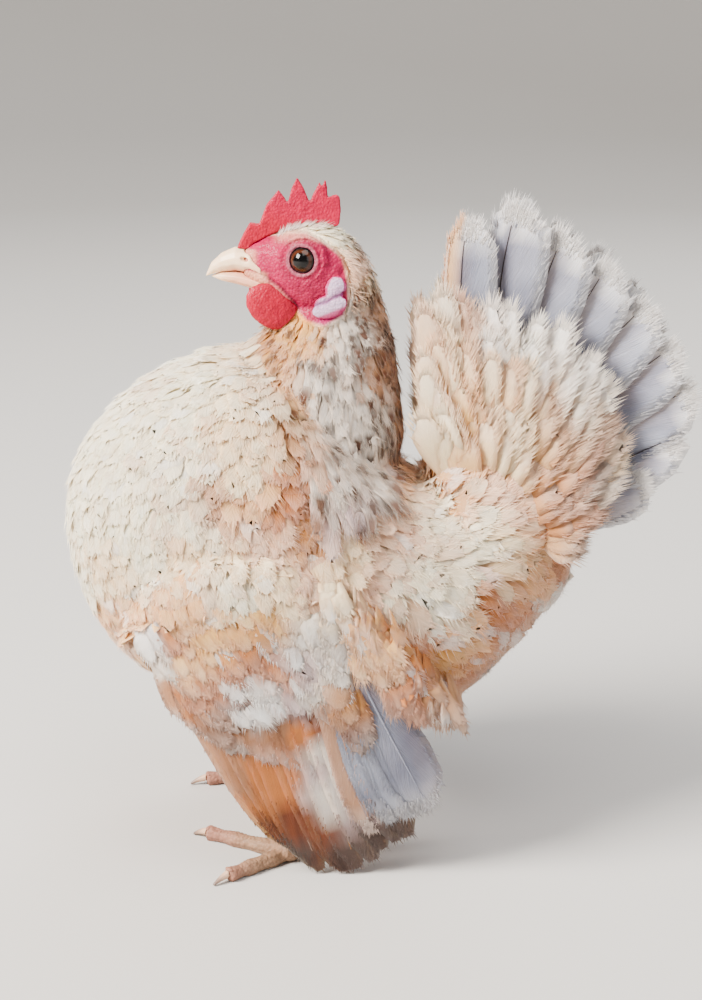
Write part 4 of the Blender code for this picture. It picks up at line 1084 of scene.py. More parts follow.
def flecked(roots, tract):
    """Which feathers carry a dark tip: clumps on the nape, down the hackle and round the cape's hem."""
    n, neck = len(roots), tract <= NECK
    x, z = roots[:, 0], roots[:, 2]
    chance = np.where(neck, mix(0.16, 0.58, smooth_step(x, -10.0, 2.0)), np.where(x < -30.0, 0.04, 0.05))
    chance = np.where(neck & (z < 130.0), np.maximum(chance, 0.42), chance)
    chance = np.where(neck & (x < -29.0), 0.07, chance)
    chance = np.where(tract == HEAD, np.where(x > -8.0, 0.35, 0.04), chance)
    edge = outline_depth(roots, CAPE_OUTLINE)
    hem = neck & (edge < 5.0) & (x > -14.0) & (z < 136.0)
    chance = np.where(hem, 0.72, chance)
    lumps = clouds(roots * (1.0, 1.0, 0.7), 3.0, 17, 1) + DRAW.normal(0.0, 0.05, n)
    return lumps.argsort().argsort() / n > 1.0 - chance


def coat_colours(roots, tract, dark):
    """Colours of each feather from its root to its tip and across it."""
    n, rows = len(roots), len(BODY_SHARES)
    neck = tract <= NECK
    base = np.where(neck[:, None], patchwork(roots, NECK_PATCHES, 2.0, 8), patchwork(roots, COAT_PATCHES))
    v = BODY_SHARES[None, :, None, None]
    u = np.abs(np.linspace(-1, 1, BODY_COLUMNS))[None, None, :, None]
    x, z = roots[:, 0], roots[:, 2]
    roll = DRAW.uniform(0, 1, n)
    spotted = (roll < mix(0.05, 0.14, smooth_step(-z, -104.0, -70.0))) & (tract == TRUNK)
    base = np.where(spotted[:, None], mix(base, TINT["white"], 0.45), base)
    deeper = (roll > 0.86) & (tract == TRUNK) & (x > -60.0)
    base = np.where(deeper[:, None], mix(base, TINT["orange"], 0.30), base)
    tip = mix(base, TINT["white"], 0.20)
    outer = smooth_step(v, 0.55, 1.0) * np.clip(0.4 + 0.6 * u, 0, 1)
    colours = mix(base[:, None, None], tip[:, None, None], outer)
    colours = np.broadcast_to(colours, (n, rows, BODY_COLUMNS, 3)).copy()
    drop = smooth_step(-z, -160.0, -118.0)
    start = np.where(neck, mix(0.50, 0.70, drop), 0.80) + DRAW.uniform(-0.06, 0.06, n)
    start = start[:, None, None, None]
    fleck = smooth_step(v, start, start + 0.14) * np.clip(1.6 - u, 0, 1)
    strength = np.where(neck, DRAW.uniform(0.85, 1.0, n), DRAW.uniform(0.10, 0.45, n))
    fleck = fleck * (dark * strength)[:, None, None, None]
    tone = mix(TINT["brown"], TINT["rust"], (DRAW.uniform(0, 1, n) ** 2 * 0.35)[:, None])
    colours = mix(colours, tone[:, None, None], fleck)
    shade = DRAW.uniform(0.94, 1.05, n)[:, None, None, None]
    return paintable(colours * shade)


def make_coat():
    """Lays the small feathers over the skin, a piece for each part of the body."""
    roots, tract = throw_roots()
    length, half, rise, ragged = feather_sizes(roots, tract)
    dark = flecked(roots, tract)
    rise = rise + np.where(dark & (tract <= NECK), 0.35, 0.0)
    trunk = tract == TRUNK
    high = roots[:, 2] > 94.0
    x = roots[:, 0]
    groups = {
        "coat_head": tract == HEAD,
        "coat_neck": tract == NECK,
        "coat_breast_upper": trunk & (x < -38.0) & high,
        "coat_breast_lower": trunk & (x < -38.0) & ~high,
        "coat_side_upper": trunk & (x >= -38.0) & (x < 5.0) & high,
        "coat_side_lower": trunk & (x >= -38.0) & (x < 5.0) & ~high,
        "coat_rear_upper": trunk & (x >= 5.0) & high,
        "coat_rear_lower": trunk & (x >= 5.0) & ~high,
        "coat_thigh": tract >= THIGH,
    }
    for name, chosen in groups.items():
        pick = np.nonzero(chosen)[0]
        hackle = name in ("coat_head", "coat_neck")
        lines, outs = trace(roots[pick], length[pick], rise[pick], NECK_LIE if hackle else LIE)
        halves = half[pick][:, None] * (HACKLE_OUTLINE if hackle else BODY_OUTLINE)[None]
        colours = coat_colours(roots[pick], tract[pick], dark[pick])
        bundle = Bundle(COAT_SOFTNESS)
        for low, top, barbs, reach in ((0.0, 0.30, 18, 0.85), (0.30, 1.0, 18, 1.3)):
            part = (ragged[pick] >= low) & (ragged[pick] < top)
            if not part.any():
                continue
            frames = lay_vanes(bundle, lines[part], outs[part], halves[part], 0.05, 0.07, colours[part],
                               BODY_COLUMNS, float(ragged[pick][part].mean()))
            fray(bundle, lines[part], frames, halves[part], colours[part], barbs, (0.45, 0.99),
                 1.6 if hackle else reach, 0.20, lean=0.3 if hackle else 0.5)
            if hackle:
                fray(bundle, lines[part], frames, halves[part], colours[part], 3, (0.7, 0.99), 2.2, 0.16,
                     lean=0.7, lift=0.30)
        finish_object(name, bundle.mesh(name), "coat", smooth=False)


def make_bristles():
    """Short white bristles that lie up against the comb's foot, and finer ones behind the eye and ear."""
    bundle = Bundle(COAT_SOFTNESS)
    for side in SIDES.values():
        starts, ways, reach, shades = [], [], [], []
        for _ in range(90):
            share = LUCK.random()
            x, z = along(((-27.0, 179.4), (-24.0, 181.0), (-19.0, 182.2), (-13.0, 181.8)), share)
            starts.append((x, side * LUCK.uniform(1.6, 4.2), z - LUCK.uniform(0.2, 1.0)))
            ways.append((0.35 + 0.5 * share, -side * 0.25, 1.0 - 0.65 * share))
            reach.append(LUCK.uniform(2.2, 4.2) * mix(0.8, 1.0, share))
            shades.append(TINT["white"] if LUCK.random() < 0.75 else mix(TINT["white"], TINT["comb"], 0.4))
        for _ in range(70):
            x, z = along(((-8.6, 176.5), (-6.4, 171.0), (-6.0, 165.0), (-6.4, 159.0)), LUCK.random())
            starts.append((x + LUCK.uniform(-1.0, 1.0), side * LUCK.uniform(9.4, 10.6), z))
            ways.append((0.9, side * 0.25, LUCK.uniform(-0.7, -0.1)))
            reach.append(LUCK.uniform(2.4, 5.0))
            shades.append(mix(TINT["blush"], TINT["brown"], LUCK.choice((0.0, 0.0, 0.1, 0.5))))
        starts, ways = np.array(starts), unit(np.array(ways) + DRAW.normal(0, 0.12, (len(ways), 3)))
        outs = np.broadcast_to((0.0, side, 0.0), starts.shape)
        outs = unit(outs - ways * (outs * ways).sum(axis=1, keepdims=True))
        lay_barbs(bundle, starts, ways, outs, np.array(reach), np.full(len(starts), 0.12), np.array(shades),
                  unwrap(starts))
    finish_object("coat_bristles", bundle.mesh("coat_bristles"), "coat", smooth=False)


# wings and tail

LONG_ROWS = 14
LONG_SHARES = np.linspace(0.0, 1.0, LONG_ROWS)
LONG_OUTLINE = np.interp(LONG_SHARES, (0.0, 0.2, 0.45, 0.7, 0.86, 0.95, 1.0),
                         (0.22, 0.55, 0.84, 1.0, 0.93, 0.66, 0.26))
TAIL_OUTLINE = np.interp(LONG_SHARES, (0.0, 0.2, 0.45, 0.75, 0.9, 0.97, 1.0),
                         (0.25, 0.50, 0.78, 1.0, 0.93, 0.70, 0.36))
LONG_COLUMNS = 7
COVERT_SHARES = np.array((0.0, 0.2, 0.4, 0.55, 0.68, 0.80, 0.90, 0.96, 1.0))
COVERT_OUTLINE = np.array((0.30, 0.55, 0.80, 0.94, 1.0, 0.94, 0.74, 0.50, 0.24))


def wing_colours(points, tier, number, count, middle=None):
    """Colours over the wing: tan and orange with pale blotches, broad blue-grey feathers behind with painted
    shadow in mauve at their upper part.
    """
    flat = points.reshape(-1, 3)
    close = clouds(flat, 4.5, 22)[:, None]
    if tier == "tertial":
        wide = clouds(flat, 12.0, 21)[:, None]
        base = mix(TINT["pale_blue"], TINT["blue"], np.clip(0.50 + 1.1 * wide, 0, 1))
        # the tertials' upper part, under the coverts and flank, is painted mauve: painted shadow
        base = mix(base, TINT["mauve"], smooth_step(flat[:, 2], 52.0, 68.0)[:, None] * 0.8)
        if number == 0:
            base = mix(base, TINT["tan"], 0.8)
        if number == count - 1:
            base = mix(base, TINT["slate"], 0.35)
    else:
        base = patchwork(flat, WING_PATCHES, 2.2, 21)
        if middle is not None:
            base = mix(base, patchwork(middle[None], WING_PATCHES, 2.2, 21), 0.65)
        if tier == "flight":
            low = smooth_step(-flat[:, 2], -30.0, -12.0)[:, None]
            base = mix(base, TINT["brown"], smooth_step(close, 0.16, 0.40) * low * 0.6)
    return paintable(base * (1.0 + 0.05 * close)).reshape(points.shape)


def surface_vane(side, root, tip, width, lift, slant, shares=LONG_SHARES, outline=LONG_OUTLINE, dip=0.35):
    """A feather's rows along the wing's face: centres, outward ways and half widths."""
    root, tip = np.array(root), np.array(tip)
    run = (tip - root) / np.linalg.norm(tip - root)
    across = np.array((-run[1], run[0]))
    centres, outs = [], []
    for share in shares:
        x, z = root + (tip - root) * share
        rise = lift * mix(dip, 1.0, float(smooth_step(share, 0.0, 0.5)))
        centres.append((x, side * (wing_side(x, z) + rise), z))
        slope_x = (wing_side(x + 2, z) - wing_side(x - 2, z)) / 4
        slope_z = (wing_side(x, z + 2) - wing_side(x, z - 2)) / 4
        tilt_x, tilt_z = across * slant
        outs.append((-slope_x - tilt_x, side, -slope_z - tilt_z))
    return np.array(centres), unit(np.array(outs)), outline * width / 2


def place_grid(centres, outs, halves, columns, webs=(1.0, 1.0)):
    """Where each row and column of a vane lies, for its colours."""
    runs = unit(np.gradient(centres, axis=0))
    sides = unit(np.cross(runs, outs))
    u = web_shares(columns, webs)
    return centres[:, None] + sides[:, None] * (halves[:, None] * u[None])[..., None]


def lay_long(bundle, centres, outs, halves, colours, cup, ragged, barbs, barb_length, shaft, webs=(1.0, 1.0),
             fringe=None):
    """One large feather with its frayed edge, a fringe at its tip and, where it shows, a raised shaft."""
    columns = colours.shape[1]
    line, half, shades = centres[None], halves[None], colours[None]
    frame_of = lay_vanes(bundle, line, outs[None], half, cup, 0.25, shades, columns, ragged, webs)
    fray(bundle, line, frame_of, half, shades, barbs, (0.45, 1.0), barb_length, 0.30, webs)
    if fringe:
        count, length, width = fringe
        fray(bundle, line, frame_of, half, shades, count, (0.90, 1.0), length, width, webs, 0.35)
    if shaft is not None:
        lay_shaft(bundle, centres, frame_of, shaft)


def lay_shaft(bundle, centres, frame_of, shaft):
    """A raised three-sided shaft that thins towards the tip."""
    _, sides, faces_out = frame_of
    count = len(centres) - 1
    thick = np.interp(np.linspace(0, 1, count), (0.0, 1.0), (0.5, 0.14))
    points = []
    for r in range(count):
        lift = faces_out[0, r] * 0.05
        for a in (0.0, math.tau / 3, 2 * math.tau / 3):
            points.append(centres[r] + lift + sides[0, r] * math.cos(a + 0.5) * thick[r]
                          + faces_out[0, r] * math.sin(a + 0.5) * thick[r])
    faces = []
    for r in range(count - 1):
        for j in range(3):
            m = (j + 1) % 3
            faces.append((r * 3 + j, (r + 1) * 3 + j, (r + 1) * 3 + m, r * 3 + m))
    faces.append((0, 1, 2))
    faces.append(((count - 1) * 3 + 2, (count - 1) * 3 + 1, (count - 1) * 3))
    points = np.array(points)[None]
    shades = np.broadcast_to(np.asarray(shaft), points.shape).copy()
    local = np.zeros((1, points.shape[1], 2))
    local[0, :, 1] = np.repeat(np.linspace(0, 1, count), 3)
    leans = np.repeat(faces_out[0, :count], 3, axis=0)[None]
    bundle.add(points, faces, shades, unwrap(centres[:1]), local, leans)


def lay_small_coverts(bundle, side):
    """Rows of small rounded feathers over the wing's upper part, each row lying on the one below."""
    for row in range(COVERT_ROWS):
        for i in range(COVERTS_A_ROW):
            share = (i + 0.5 * (row % 2) + LUCK.uniform(-0.2, 0.2)) / COVERTS_A_ROW
            lean = mix(*COVERT_LEAN, share)
            fall = np.array((lean, -1.0)) / math.hypot(lean, 1.0)
            root = np.array(along(COVERT_ARC, share)) + fall * COVERT_STEP * row
            root = root + (LUCK.uniform(-1.0, 1.0), LUCK.uniform(-1.4, 1.4))
            length = mix(12.0, 17.0, row / COVERT_ROWS) * LUCK.uniform(0.85, 1.2)
            width = mix(6.0, 8.0, row / COVERT_ROWS) * LUCK.uniform(0.85, 1.2)
            swing = LUCK.uniform(-0.2, 0.2)
            way = np.array((fall[0] - fall[1] * swing, fall[1] + fall[0] * swing))
            lift = 4.3 - 0.2 * row + LUCK.uniform(-0.15, 0.15)
            centres, outs, halves = surface_vane(side, root, root + way * length, width, lift, -0.06,
                                                 BODY_SHARES, BODY_OUTLINE, 0.1)
            grid = place_grid(centres, outs, halves, BODY_COLUMNS)
            colours = wing_colours(grid, "covert", i, COVERTS_A_ROW, centres[4])
            pale = LUCK.random() < 0.10
            tip = smooth_step(BODY_SHARES, 0.55, 1.0)[:, None, None]
            colours = mix(colours, TINT["white"], tip * (0.8 if pale else 0.16))
            colours = mix(colours, TINT["white"], 0.5 if pale else 0.0) * LUCK.uniform(0.92, 1.05)
            lay_long(bundle, centres, outs, halves, paintable(colours), 0.05, 0.20, 22, 0.7, None)


def lay_flank(bundle, side):
    """Soft feathers of the flank over the wing's rear edge, and short ones that fill the space inside."""
    for line, count, inner in ((FLANK_LINE, FLANK_COUNT, False), (FLANK_REAR, FLANK_REAR_COUNT, True)):
        for i in range(count):
            root = np.array(along(line, i / (count - 1))) + (LUCK.uniform(-3.0, 3.0), LUCK.uniform(-3.5, 3.5))
            heading = math.radians(LUCK.uniform(-88, -66) if inner else LUCK.uniform(-84, -52))
            length = LUCK.uniform(9.0, 13.0) if inner else LUCK.uniform(11.0, 17.0)
            reach = LUCK.uniform(0.2, 0.9) if inner else 1.0
            way = np.array((math.cos(heading), math.sin(heading)))
            centres, outs = [], []
            for share in BODY_SHARES:
                x, z = root + way * length * share
                body = TORSO_REACH(x, z)
                low = body - 2.5 if share < 0.3 else (body if inner else wing_side(x, z))
                high = wing_side(x, z) + mix(2.4, 4.0, i % 3 / 2)
                out = mix(max(low, 36.0), high, reach * float(smooth_step(share, 0.0, 0.55)))
                if not inner:
                    out -= 2.5 * float(smooth_step(x, 8.0, 20.0))
                centres.append((x, side * out, z))
                outs.append((0.9 if inner else 0.1, side, -0.1))
            centres, outs = np.array(centres), unit(np.array(outs))
            halves = BODY_OUTLINE * LUCK.uniform(1.9, 3.0)
            shade = patchwork(centres[4:5], COAT_PATCHES)[0]
            pale = LUCK.random() < 0.15
            tip = smooth_step(BODY_SHARES, 0.4, 1.0)[:, None, None]
            colours = np.broadcast_to(shade, (len(BODY_SHARES), BODY_COLUMNS, 3))
            colours = mix(colours, TINT["white"], tip * (0.7 if pale else 0.2)) * LUCK.uniform(0.93, 1.05)
            barbs = 18 if inner else 34
            lay_long(bundle, centres, outs, halves, paintable(colours), 0.05, 0.35, barbs, 1.3, None)


def make_wings():
    """Lays each hanging wing: flight feathers, tertials, coverts and the flank over them."""
    for name, side in SIDES.items():
        bundle = Bundle(VANE_SOFTNESS)
        for tier, count, roots, tips, first, last, lift, slant in WING_TIERS:
            for i in range(count):
                share = i / (count - 1)
                width = mix(first, last, share) * LUCK.uniform(0.94, 1.08)
                root = along(roots, share)
                tip = np.array(along(tips, share)) + (LUCK.uniform(-1.0, 1.0), LUCK.uniform(-1.4, 1.4))
                tip[1] = max(tip[1], 1.4)
                above = lift + 0.07 * (i if tier == "flight" else -i)
                centres, outs, halves = surface_vane(side, root, tip, width, above, slant)
                grid = place_grid(centres, outs, halves, LONG_COLUMNS)
                colours = wing_colours(grid, tier, i, count)
                ragged, barbs, fringe = TIER_FRAY[tier]
                middle = colours[LONG_ROWS // 2 - 1, LONG_COLUMNS // 2]
                shaft = paintable(middle * SHAFT_SHADE[tier]) if tier in SHAFT_SHADE else None
                if tier != "flight":
                    edge = smooth_step(LONG_SHARES, 0.86, 1.0)[:, None, None]
                    colours = mix(colours, TINT["white"], edge * 0.35)
                lay_long(bundle, centres, outs, halves, colours, 0.08, ragged, barbs, 0.3, shaft,
                         fringe=fringe)
        lay_small_coverts(bundle, side)
        lay_flank(bundle, side)
        mesh = bundle.mesh(f"wing_feathers_{name}")
        finish_object(f"wing_feathers_{name}", mesh, "vane", (f"wing_{name}",), smooth=False)


def fan_vane(side, root, bend, tip, width, splay, shares=LONG_SHARES, outline=TAIL_OUTLINE):
    """A feather of the fan, curved over its bend, with its flat turned out by the splay."""
    root, bend, tip = np.array(root), np.array(bend), np.array(tip)
    centres, outs = [], []
    for t in shares:
        spot = root * (1 - t) ** 2 + bend * 2 * t * (1 - t) + tip * t ** 2
        run = unit((bend - root) * (1 - t) + (tip - bend) * t)
        flat = unit(np.array((run[2], 0.0, -run[0])))
        across = unit(flat * math.cos(splay) + np.array((0.0, side, 0.0)) * math.sin(splay))
        across = unit(across - run * (across @ run))
        normal = unit(np.cross(across, run))
        centres.append(spot)
        outs.append(normal if normal[1] * side > 0 else -normal)
    return np.array(centres), np.array(outs), outline * width / 2


def fan_colours(points, side, order):
    """Blue-grey fan feathers, darker low down and at the shaft, with pale edges and white tips."""
    rows, columns = points.shape[:2]
    v = LONG_SHARES[:, None, None]
    u = np.linspace(-1, 1, columns)[None, :, None]
    rearward = u * side * -1.0
    flat = points.reshape(-1, 3)
    wide = clouds(flat, 9.0, 31).reshape(rows, columns, 1)
    close = clouds(flat, 3.0, 32).reshape(rows, columns, 1)
    base = mix(TINT["blue"], TINT["pale_blue"], np.clip(0.30 + 0.7 * wide + 0.5 * np.abs(u), 0, 1))
    shaded = smooth_step(-v, -0.86, -0.40)
    base = mix(base, TINT["slate"], shaded * 0.75 * (1.0 - np.abs(u) * 0.45))
    base = mix(base, TINT["slate"], np.exp(-(u / 0.24) ** 2) * 0.45)
    base = mix(base, TINT["white"], smooth_step(v + 0.07 * close, 0.88, 0.99) * 0.8)
    base = mix(base, TINT["white"], smooth_step(np.abs(u), 0.75, 1.0) * 0.35)
    if order == 0:
        base = mix(base, TINT["buff"], smooth_step(-rearward, -0.1, 0.7) * 0.85)
    return paintable(base)


def tail_covert_colours(points, tier):
    """Coverts of the tail: buff and cream from the coat's own mottling, the top row with white tips."""
    rows, columns = points.shape[:2]
    middle = points[rows * 2 // 3, columns // 2][None]
    base = mix(patchwork(middle, TAIL_PATCHES), TINT["cream"], 0.1)
    v = COVERT_SHARES[:, None, None]
    high = 0.0
    if tier < 2:
        high = float(smooth_step(middle[0, 2], 128.0, 140.0) * smooth_step(middle[0, 0], 24.0, 32.0))
    pale = smooth_step(v, 0.55, 0.95) * mix(0.22, 0.85, high)
    colours = mix(base, TINT["white"], pale) * LUCK.uniform(0.93, 1.05)
    return paintable(np.broadcast_to(colours, points.shape))


def make_tail():
    """Lays the upright fan, two rows side by side, and the tiers of coverts over its foot."""
    bundle = Bundle(VANE_SOFTNESS)
    for side in SIDES.values():
        webs = (0.72, 1.42) if side < 0 else (1.42, 0.72)
        for i, (bend_x, bend_z, tip_x, tip_y, tip_z, width) in enumerate(TAIL_FAN):
            root = (38.0 + i, side * (1.6 + 0.9 * i), 108.0 - 1.8 * i)
            bend = (bend_x, side * (1.2 + tip_y * 0.6), bend_z)
            tip = (tip_x, side * tip_y, tip_z)
            centres, outs, halves = fan_vane(side, root, bend, tip, width, math.radians(26.0))
            colours = fan_colours(place_grid(centres, outs, halves, LONG_COLUMNS, webs), side, i)
            lay_long(bundle, centres, outs, halves, colours, 0.10, 0.10, 220, 0.30, TINT["ink"] * 1.2, webs,
                     (150, 0.42, 0.50))
        for tier, (count, tips, first_y, last_y, width) in enumerate(TAIL_COVERTS):
            for i in range(count):
                share = i / (count - 1)
                x, z = np.array(along(tips, share)) + (LUCK.uniform(-2.5, 2.5), LUCK.uniform(-3.5, 3.5))
                y = mix(first_y, last_y, share) + LUCK.uniform(-0.4, 0.4)
                root = np.array(along(COVERT_ROOTS, share)) * (1, side, 1)
                bend = (mix(root[0], x, 0.45) - 3.0 * (1 - share), side * (y + 3.0), mix(root[2], z, 0.6))
                turned = math.radians(34.0 + LUCK.uniform(-8, 8))
                broad = width * LUCK.uniform(0.85, 1.15)
                centres, outs, halves = fan_vane(side, root, bend, (x, side * y, z), broad, turned,
                                                 COVERT_SHARES, COVERT_OUTLINE)
                colours = tail_covert_colours(place_grid(centres, outs, halves, BODY_COLUMNS), tier)
                lay_long(bundle, centres, outs, halves, colours, 0.08, 0.22, 60, 0.75, None,
                         fringe=(26, 0.8, 0.4))
    mesh = bundle.mesh("tail_feathers")
    finish_object("tail_feathers", mesh, "vane", ("tail",), smooth=False)


# head pieces


def make_fleshy(name, voxel, finish, colour, pebble, flatten=1.0, fold=None):
    """A comb, wattle or ear lobe: its solid made even and pebbled, coloured by places and outward ways."""
    mesh = fused(name, [node_copy(name, 0.2)], voxel, 3)
    points, normals = points_of(mesh), normals_of(mesh)
    relief = (clouds(points, 1.3, 4) + 0.6 * clouds(points, 0.6, 5)) * pebble
    if fold:
        relief = relief - 0.8 * fold(points)
    points = points + normals * relief[:, None]
    if flatten < 1.0:
        side = np.sign(points[:, 1].mean())
        reach = points[:, 1] * side
        lowered = LOBE_BASE + (reach - LOBE_BASE) * flatten
        points[:, 1] = side * np.where(reach > LOBE_BASE, lowered, reach)
    move_points(mesh, points)
    paint(mesh, paintable(colour(points, normals)))
    finish_object(name + "_flesh", mesh, finish, (name,))


def comb_paint(points, _):
    """Pink points over a redder foot."""
    low = smooth_step(-(points[:, 2] + 0.45 * points[:, 0]), -176.0, -168.0)
    shade = mix(TINT["comb"], TINT["wattle"] * 1.1, low[:, None])
    return shade * (1.0 + 0.20 * clouds(points, 2.5, 7))[:, None]


def wattle_paint(points, _):
    return TINT["wattle"] * (1.0 + 0.18 * clouds(points, 2.5, 7))[:, None]


def lobe_height(points):
    """How far above the ear lobe's sloping crease each place is."""
    slope, level = LOBE_CREASE
    return points[:, 2] - (slope * points[:, 0] + level)


def lobe_fold(points):
    """The crease between the lobe's round upper part and the crescent below it."""
    return np.exp(-((lobe_height(points) + 0.5 * clouds(points, 2.0, 10)) / 0.75) ** 2)


def lobe_paint(points, normals):
    """A pale lobe with a pink rim, its crease painted darker violet as painted shade."""
    facing = smooth_step(np.abs(normals[:, 1]) + 0.14 * clouds(points, 1.6, 10), 0.50, 0.92)
    height = lobe_height(points)
    shade = mix(TINT["rim"], TINT["lobe"], facing[:, None])
    # the sunken crease is painted darker violet: painted shade in the crease
    shade = mix(shade, TINT["lobe_fold"], (lobe_fold(points) * 0.75)[:, None])
    veil = smooth_step(height, -0.5, 0.8) * smooth_step(-height, -3.6, -1.2)
    veil = veil * smooth_step(points[:, 0], -14.0, -10.5)
    shade = mix(shade, TINT["lobe_fold"], (veil * 0.45)[:, None])
    low = 1.0 - smooth_step(height, -3.9, -2.9)
    shade = mix(shade, TINT["rim"], (low * 0.85)[:, None])
    return shade * (1.0 + 0.06 * clouds(points, 2.0, 9))[:, None]


def beak_paint(points):
    """Pale horn, pinker below and at its foot."""
    shade = np.broadcast_to(TINT["horn"], points.shape).copy()
    x, z = points[:, 0], points[:, 2]
    pink = smooth_step(x, -46.0, -38.0) * smooth_step(-z, -171.5, -168.0)
    shade = mix(shade, TINT["horn_pink"], (0.85 * pink)[:, None])
    base = smooth_step(x, -36.0, -32.0) * smooth_step(z, 168.0, 171.0)
    shade = mix(shade, TINT["horn_pink"], (0.5 * base)[:, None])
    return shade * (1.0 + 0.06 * clouds(points, 2.5, 12))[:, None]


def make_eyes():
    """Each eyeball as a bulged dome that looks out and slightly forwards, with its lids."""
    for name, side in SIDES.items():
        gaze = np.array(EYE_LOOKS) * (1, side, 1)
        gaze = gaze / np.linalg.norm(gaze)
        up = unit(np.cross(np.cross(gaze, (0, 0, 1)), gaze))
        right = np.cross(gaze, up)
        centre = np.array(EYE_CENTRE) * (1, side, 1)
        points, colours, faces = [centre + gaze * (EYE_RADIUS + 0.3)], [TINT["ink"] * 0.1], []
        rows, count = 40, 72
        for r in range(1, rows):
            angle = math.pi * 0.75 * r / (rows - 1)
            swell = EYE_RADIUS + 0.3 * math.exp(-(angle / 0.5) ** 2)
            ring = math.sin(angle) * EYE_RADIUS
            for k in range(count):
                a = math.tau * k / count
                points.append(centre + (gaze * math.cos(angle) + (right * math.cos(a) + up * math.sin(a))
                                        * math.sin(angle)) * swell)
                streak = noise.noise(Vector((math.cos(a) * 9, math.sin(a) * 9, side * 4)))
                if ring < PUPIL_RADIUS:
                    tone = TINT["ink"] * 0.05
                elif ring < IRIS_RADIUS:
                    glow = 1.0 - abs(ring - GLOW_RADIUS) / 0.7
                    tone = mix(TINT["brown"] * 0.25, TINT["rust"] * 0.32, max(glow, 0) * (0.6 + 0.4 * streak))
                else:
                    tone = TINT["ink"] * 0.15
                colours.append(tone)
        for k in range(count):
            n = (k + 1) % count
            faces.append((0, 1 + k, 1 + n))
            for r in range(rows - 2):
                near, far = 1 + r * count, 1 + (r + 1) * count
                faces.append((near + k, far + k, far + n, near + n))
        faces.append(tuple(1 + (rows - 2) * count + k for k in range(count)))
        mesh = shell(f"eye_{name}", points, faces)
        paint(mesh, np.array(colours))
        finish_object(f"eyeball_{name}", mesh, "eye", (f"eye_{name}",))
        make_lid(name, centre, gaze, right, up)


def make_lid(name, centre, gaze, right, up):
    """The rim of the lids, a soft ring that lies on the eyeball with fine creases."""
    count, around = 96, 12
    points, faces, colours = [], [], []
    for k in range(count):
        a = math.tau * k / count
        out = right * math.cos(a) + up * math.sin(a)
        open_at = LID_OPENING - 0.14 * abs(math.cos(a)) ** 3
        depth = math.sqrt(max(EYE_RADIUS ** 2 - open_at ** 2, 0.1)) + 0.1
        for j in range(around):
            b = math.tau * j / around
            crease = 1.0 + 0.05 * math.sin(k * 2.3) * math.sin(j * 1.7)
            reach = open_at + 0.26 + 0.32 * math.cos(b) * crease
            points.append(centre + gaze * (depth - 0.05 + 0.34 * math.sin(b) * crease) + out * reach)
            inner = max(0.0, -math.cos(b))
            colours.append(mix(TINT["lid"], TINT["ink"] * 2.0, 0.55 * inner ** 2))
    for k in range(count):
        for j in range(around):
            n, m = (k + 1) % count, (j + 1) % around
            faces.append((k * around + j, n * around + j, n * around + m, k * around + m))
    mesh = shell(f"lid_{name}", points, faces)
    paint(mesh, np.array(colours))
    finish_object(f"eyelid_{name}", mesh, "face")


def make_beak():
    """Both halves of the beak, made even from their solids."""
    for name in ("beak_upper", "beak_lower"):
        mesh = fused(name, [node_copy(name, 0.12)], 0.25, 3)
        points, normals = points_of(mesh), normals_of(mesh)
        points = points + normals * (clouds(points, 3.0, 15) * 0.06)[:, None]
        move_points(mesh, points)
        paint(mesh, beak_paint(points))
        finish_object(name + "_horn", mesh, "beak", (name,))


# legs


def leg_paint(points):
    """Shanks and feet, pinker towards the toes' ends, painted darker as painted shade."""
    ends = smooth_step(np.hypot(points[:, 0] - ANKLE[0], np.abs(points[:, 1]) - ANKLE[1]), 12.0, 26.0)
    # leg and toe are darker than the legs' own colour: painted shade, the legs standing in shade
    shade = mix(TINT["leg"], TINT["toe"], (ends * 0.6)[:, None])
    return shade * (1.0 + 0.12 * clouds(points, 3.0, 18))[:, None]


def claw_paint(points):
    """Horn that darkens towards the claw's tip."""
    away = np.hypot(points[:, 0] - ANKLE[0], np.abs(points[:, 1]) - ANKLE[1])
    tip = smooth_step(away - away.min(), 0.5, away.max() - away.min())
    return mix(mix(TINT["toe"], TINT["horn"], 0.5), TINT["taupe"] * 0.6, tip[:, None])


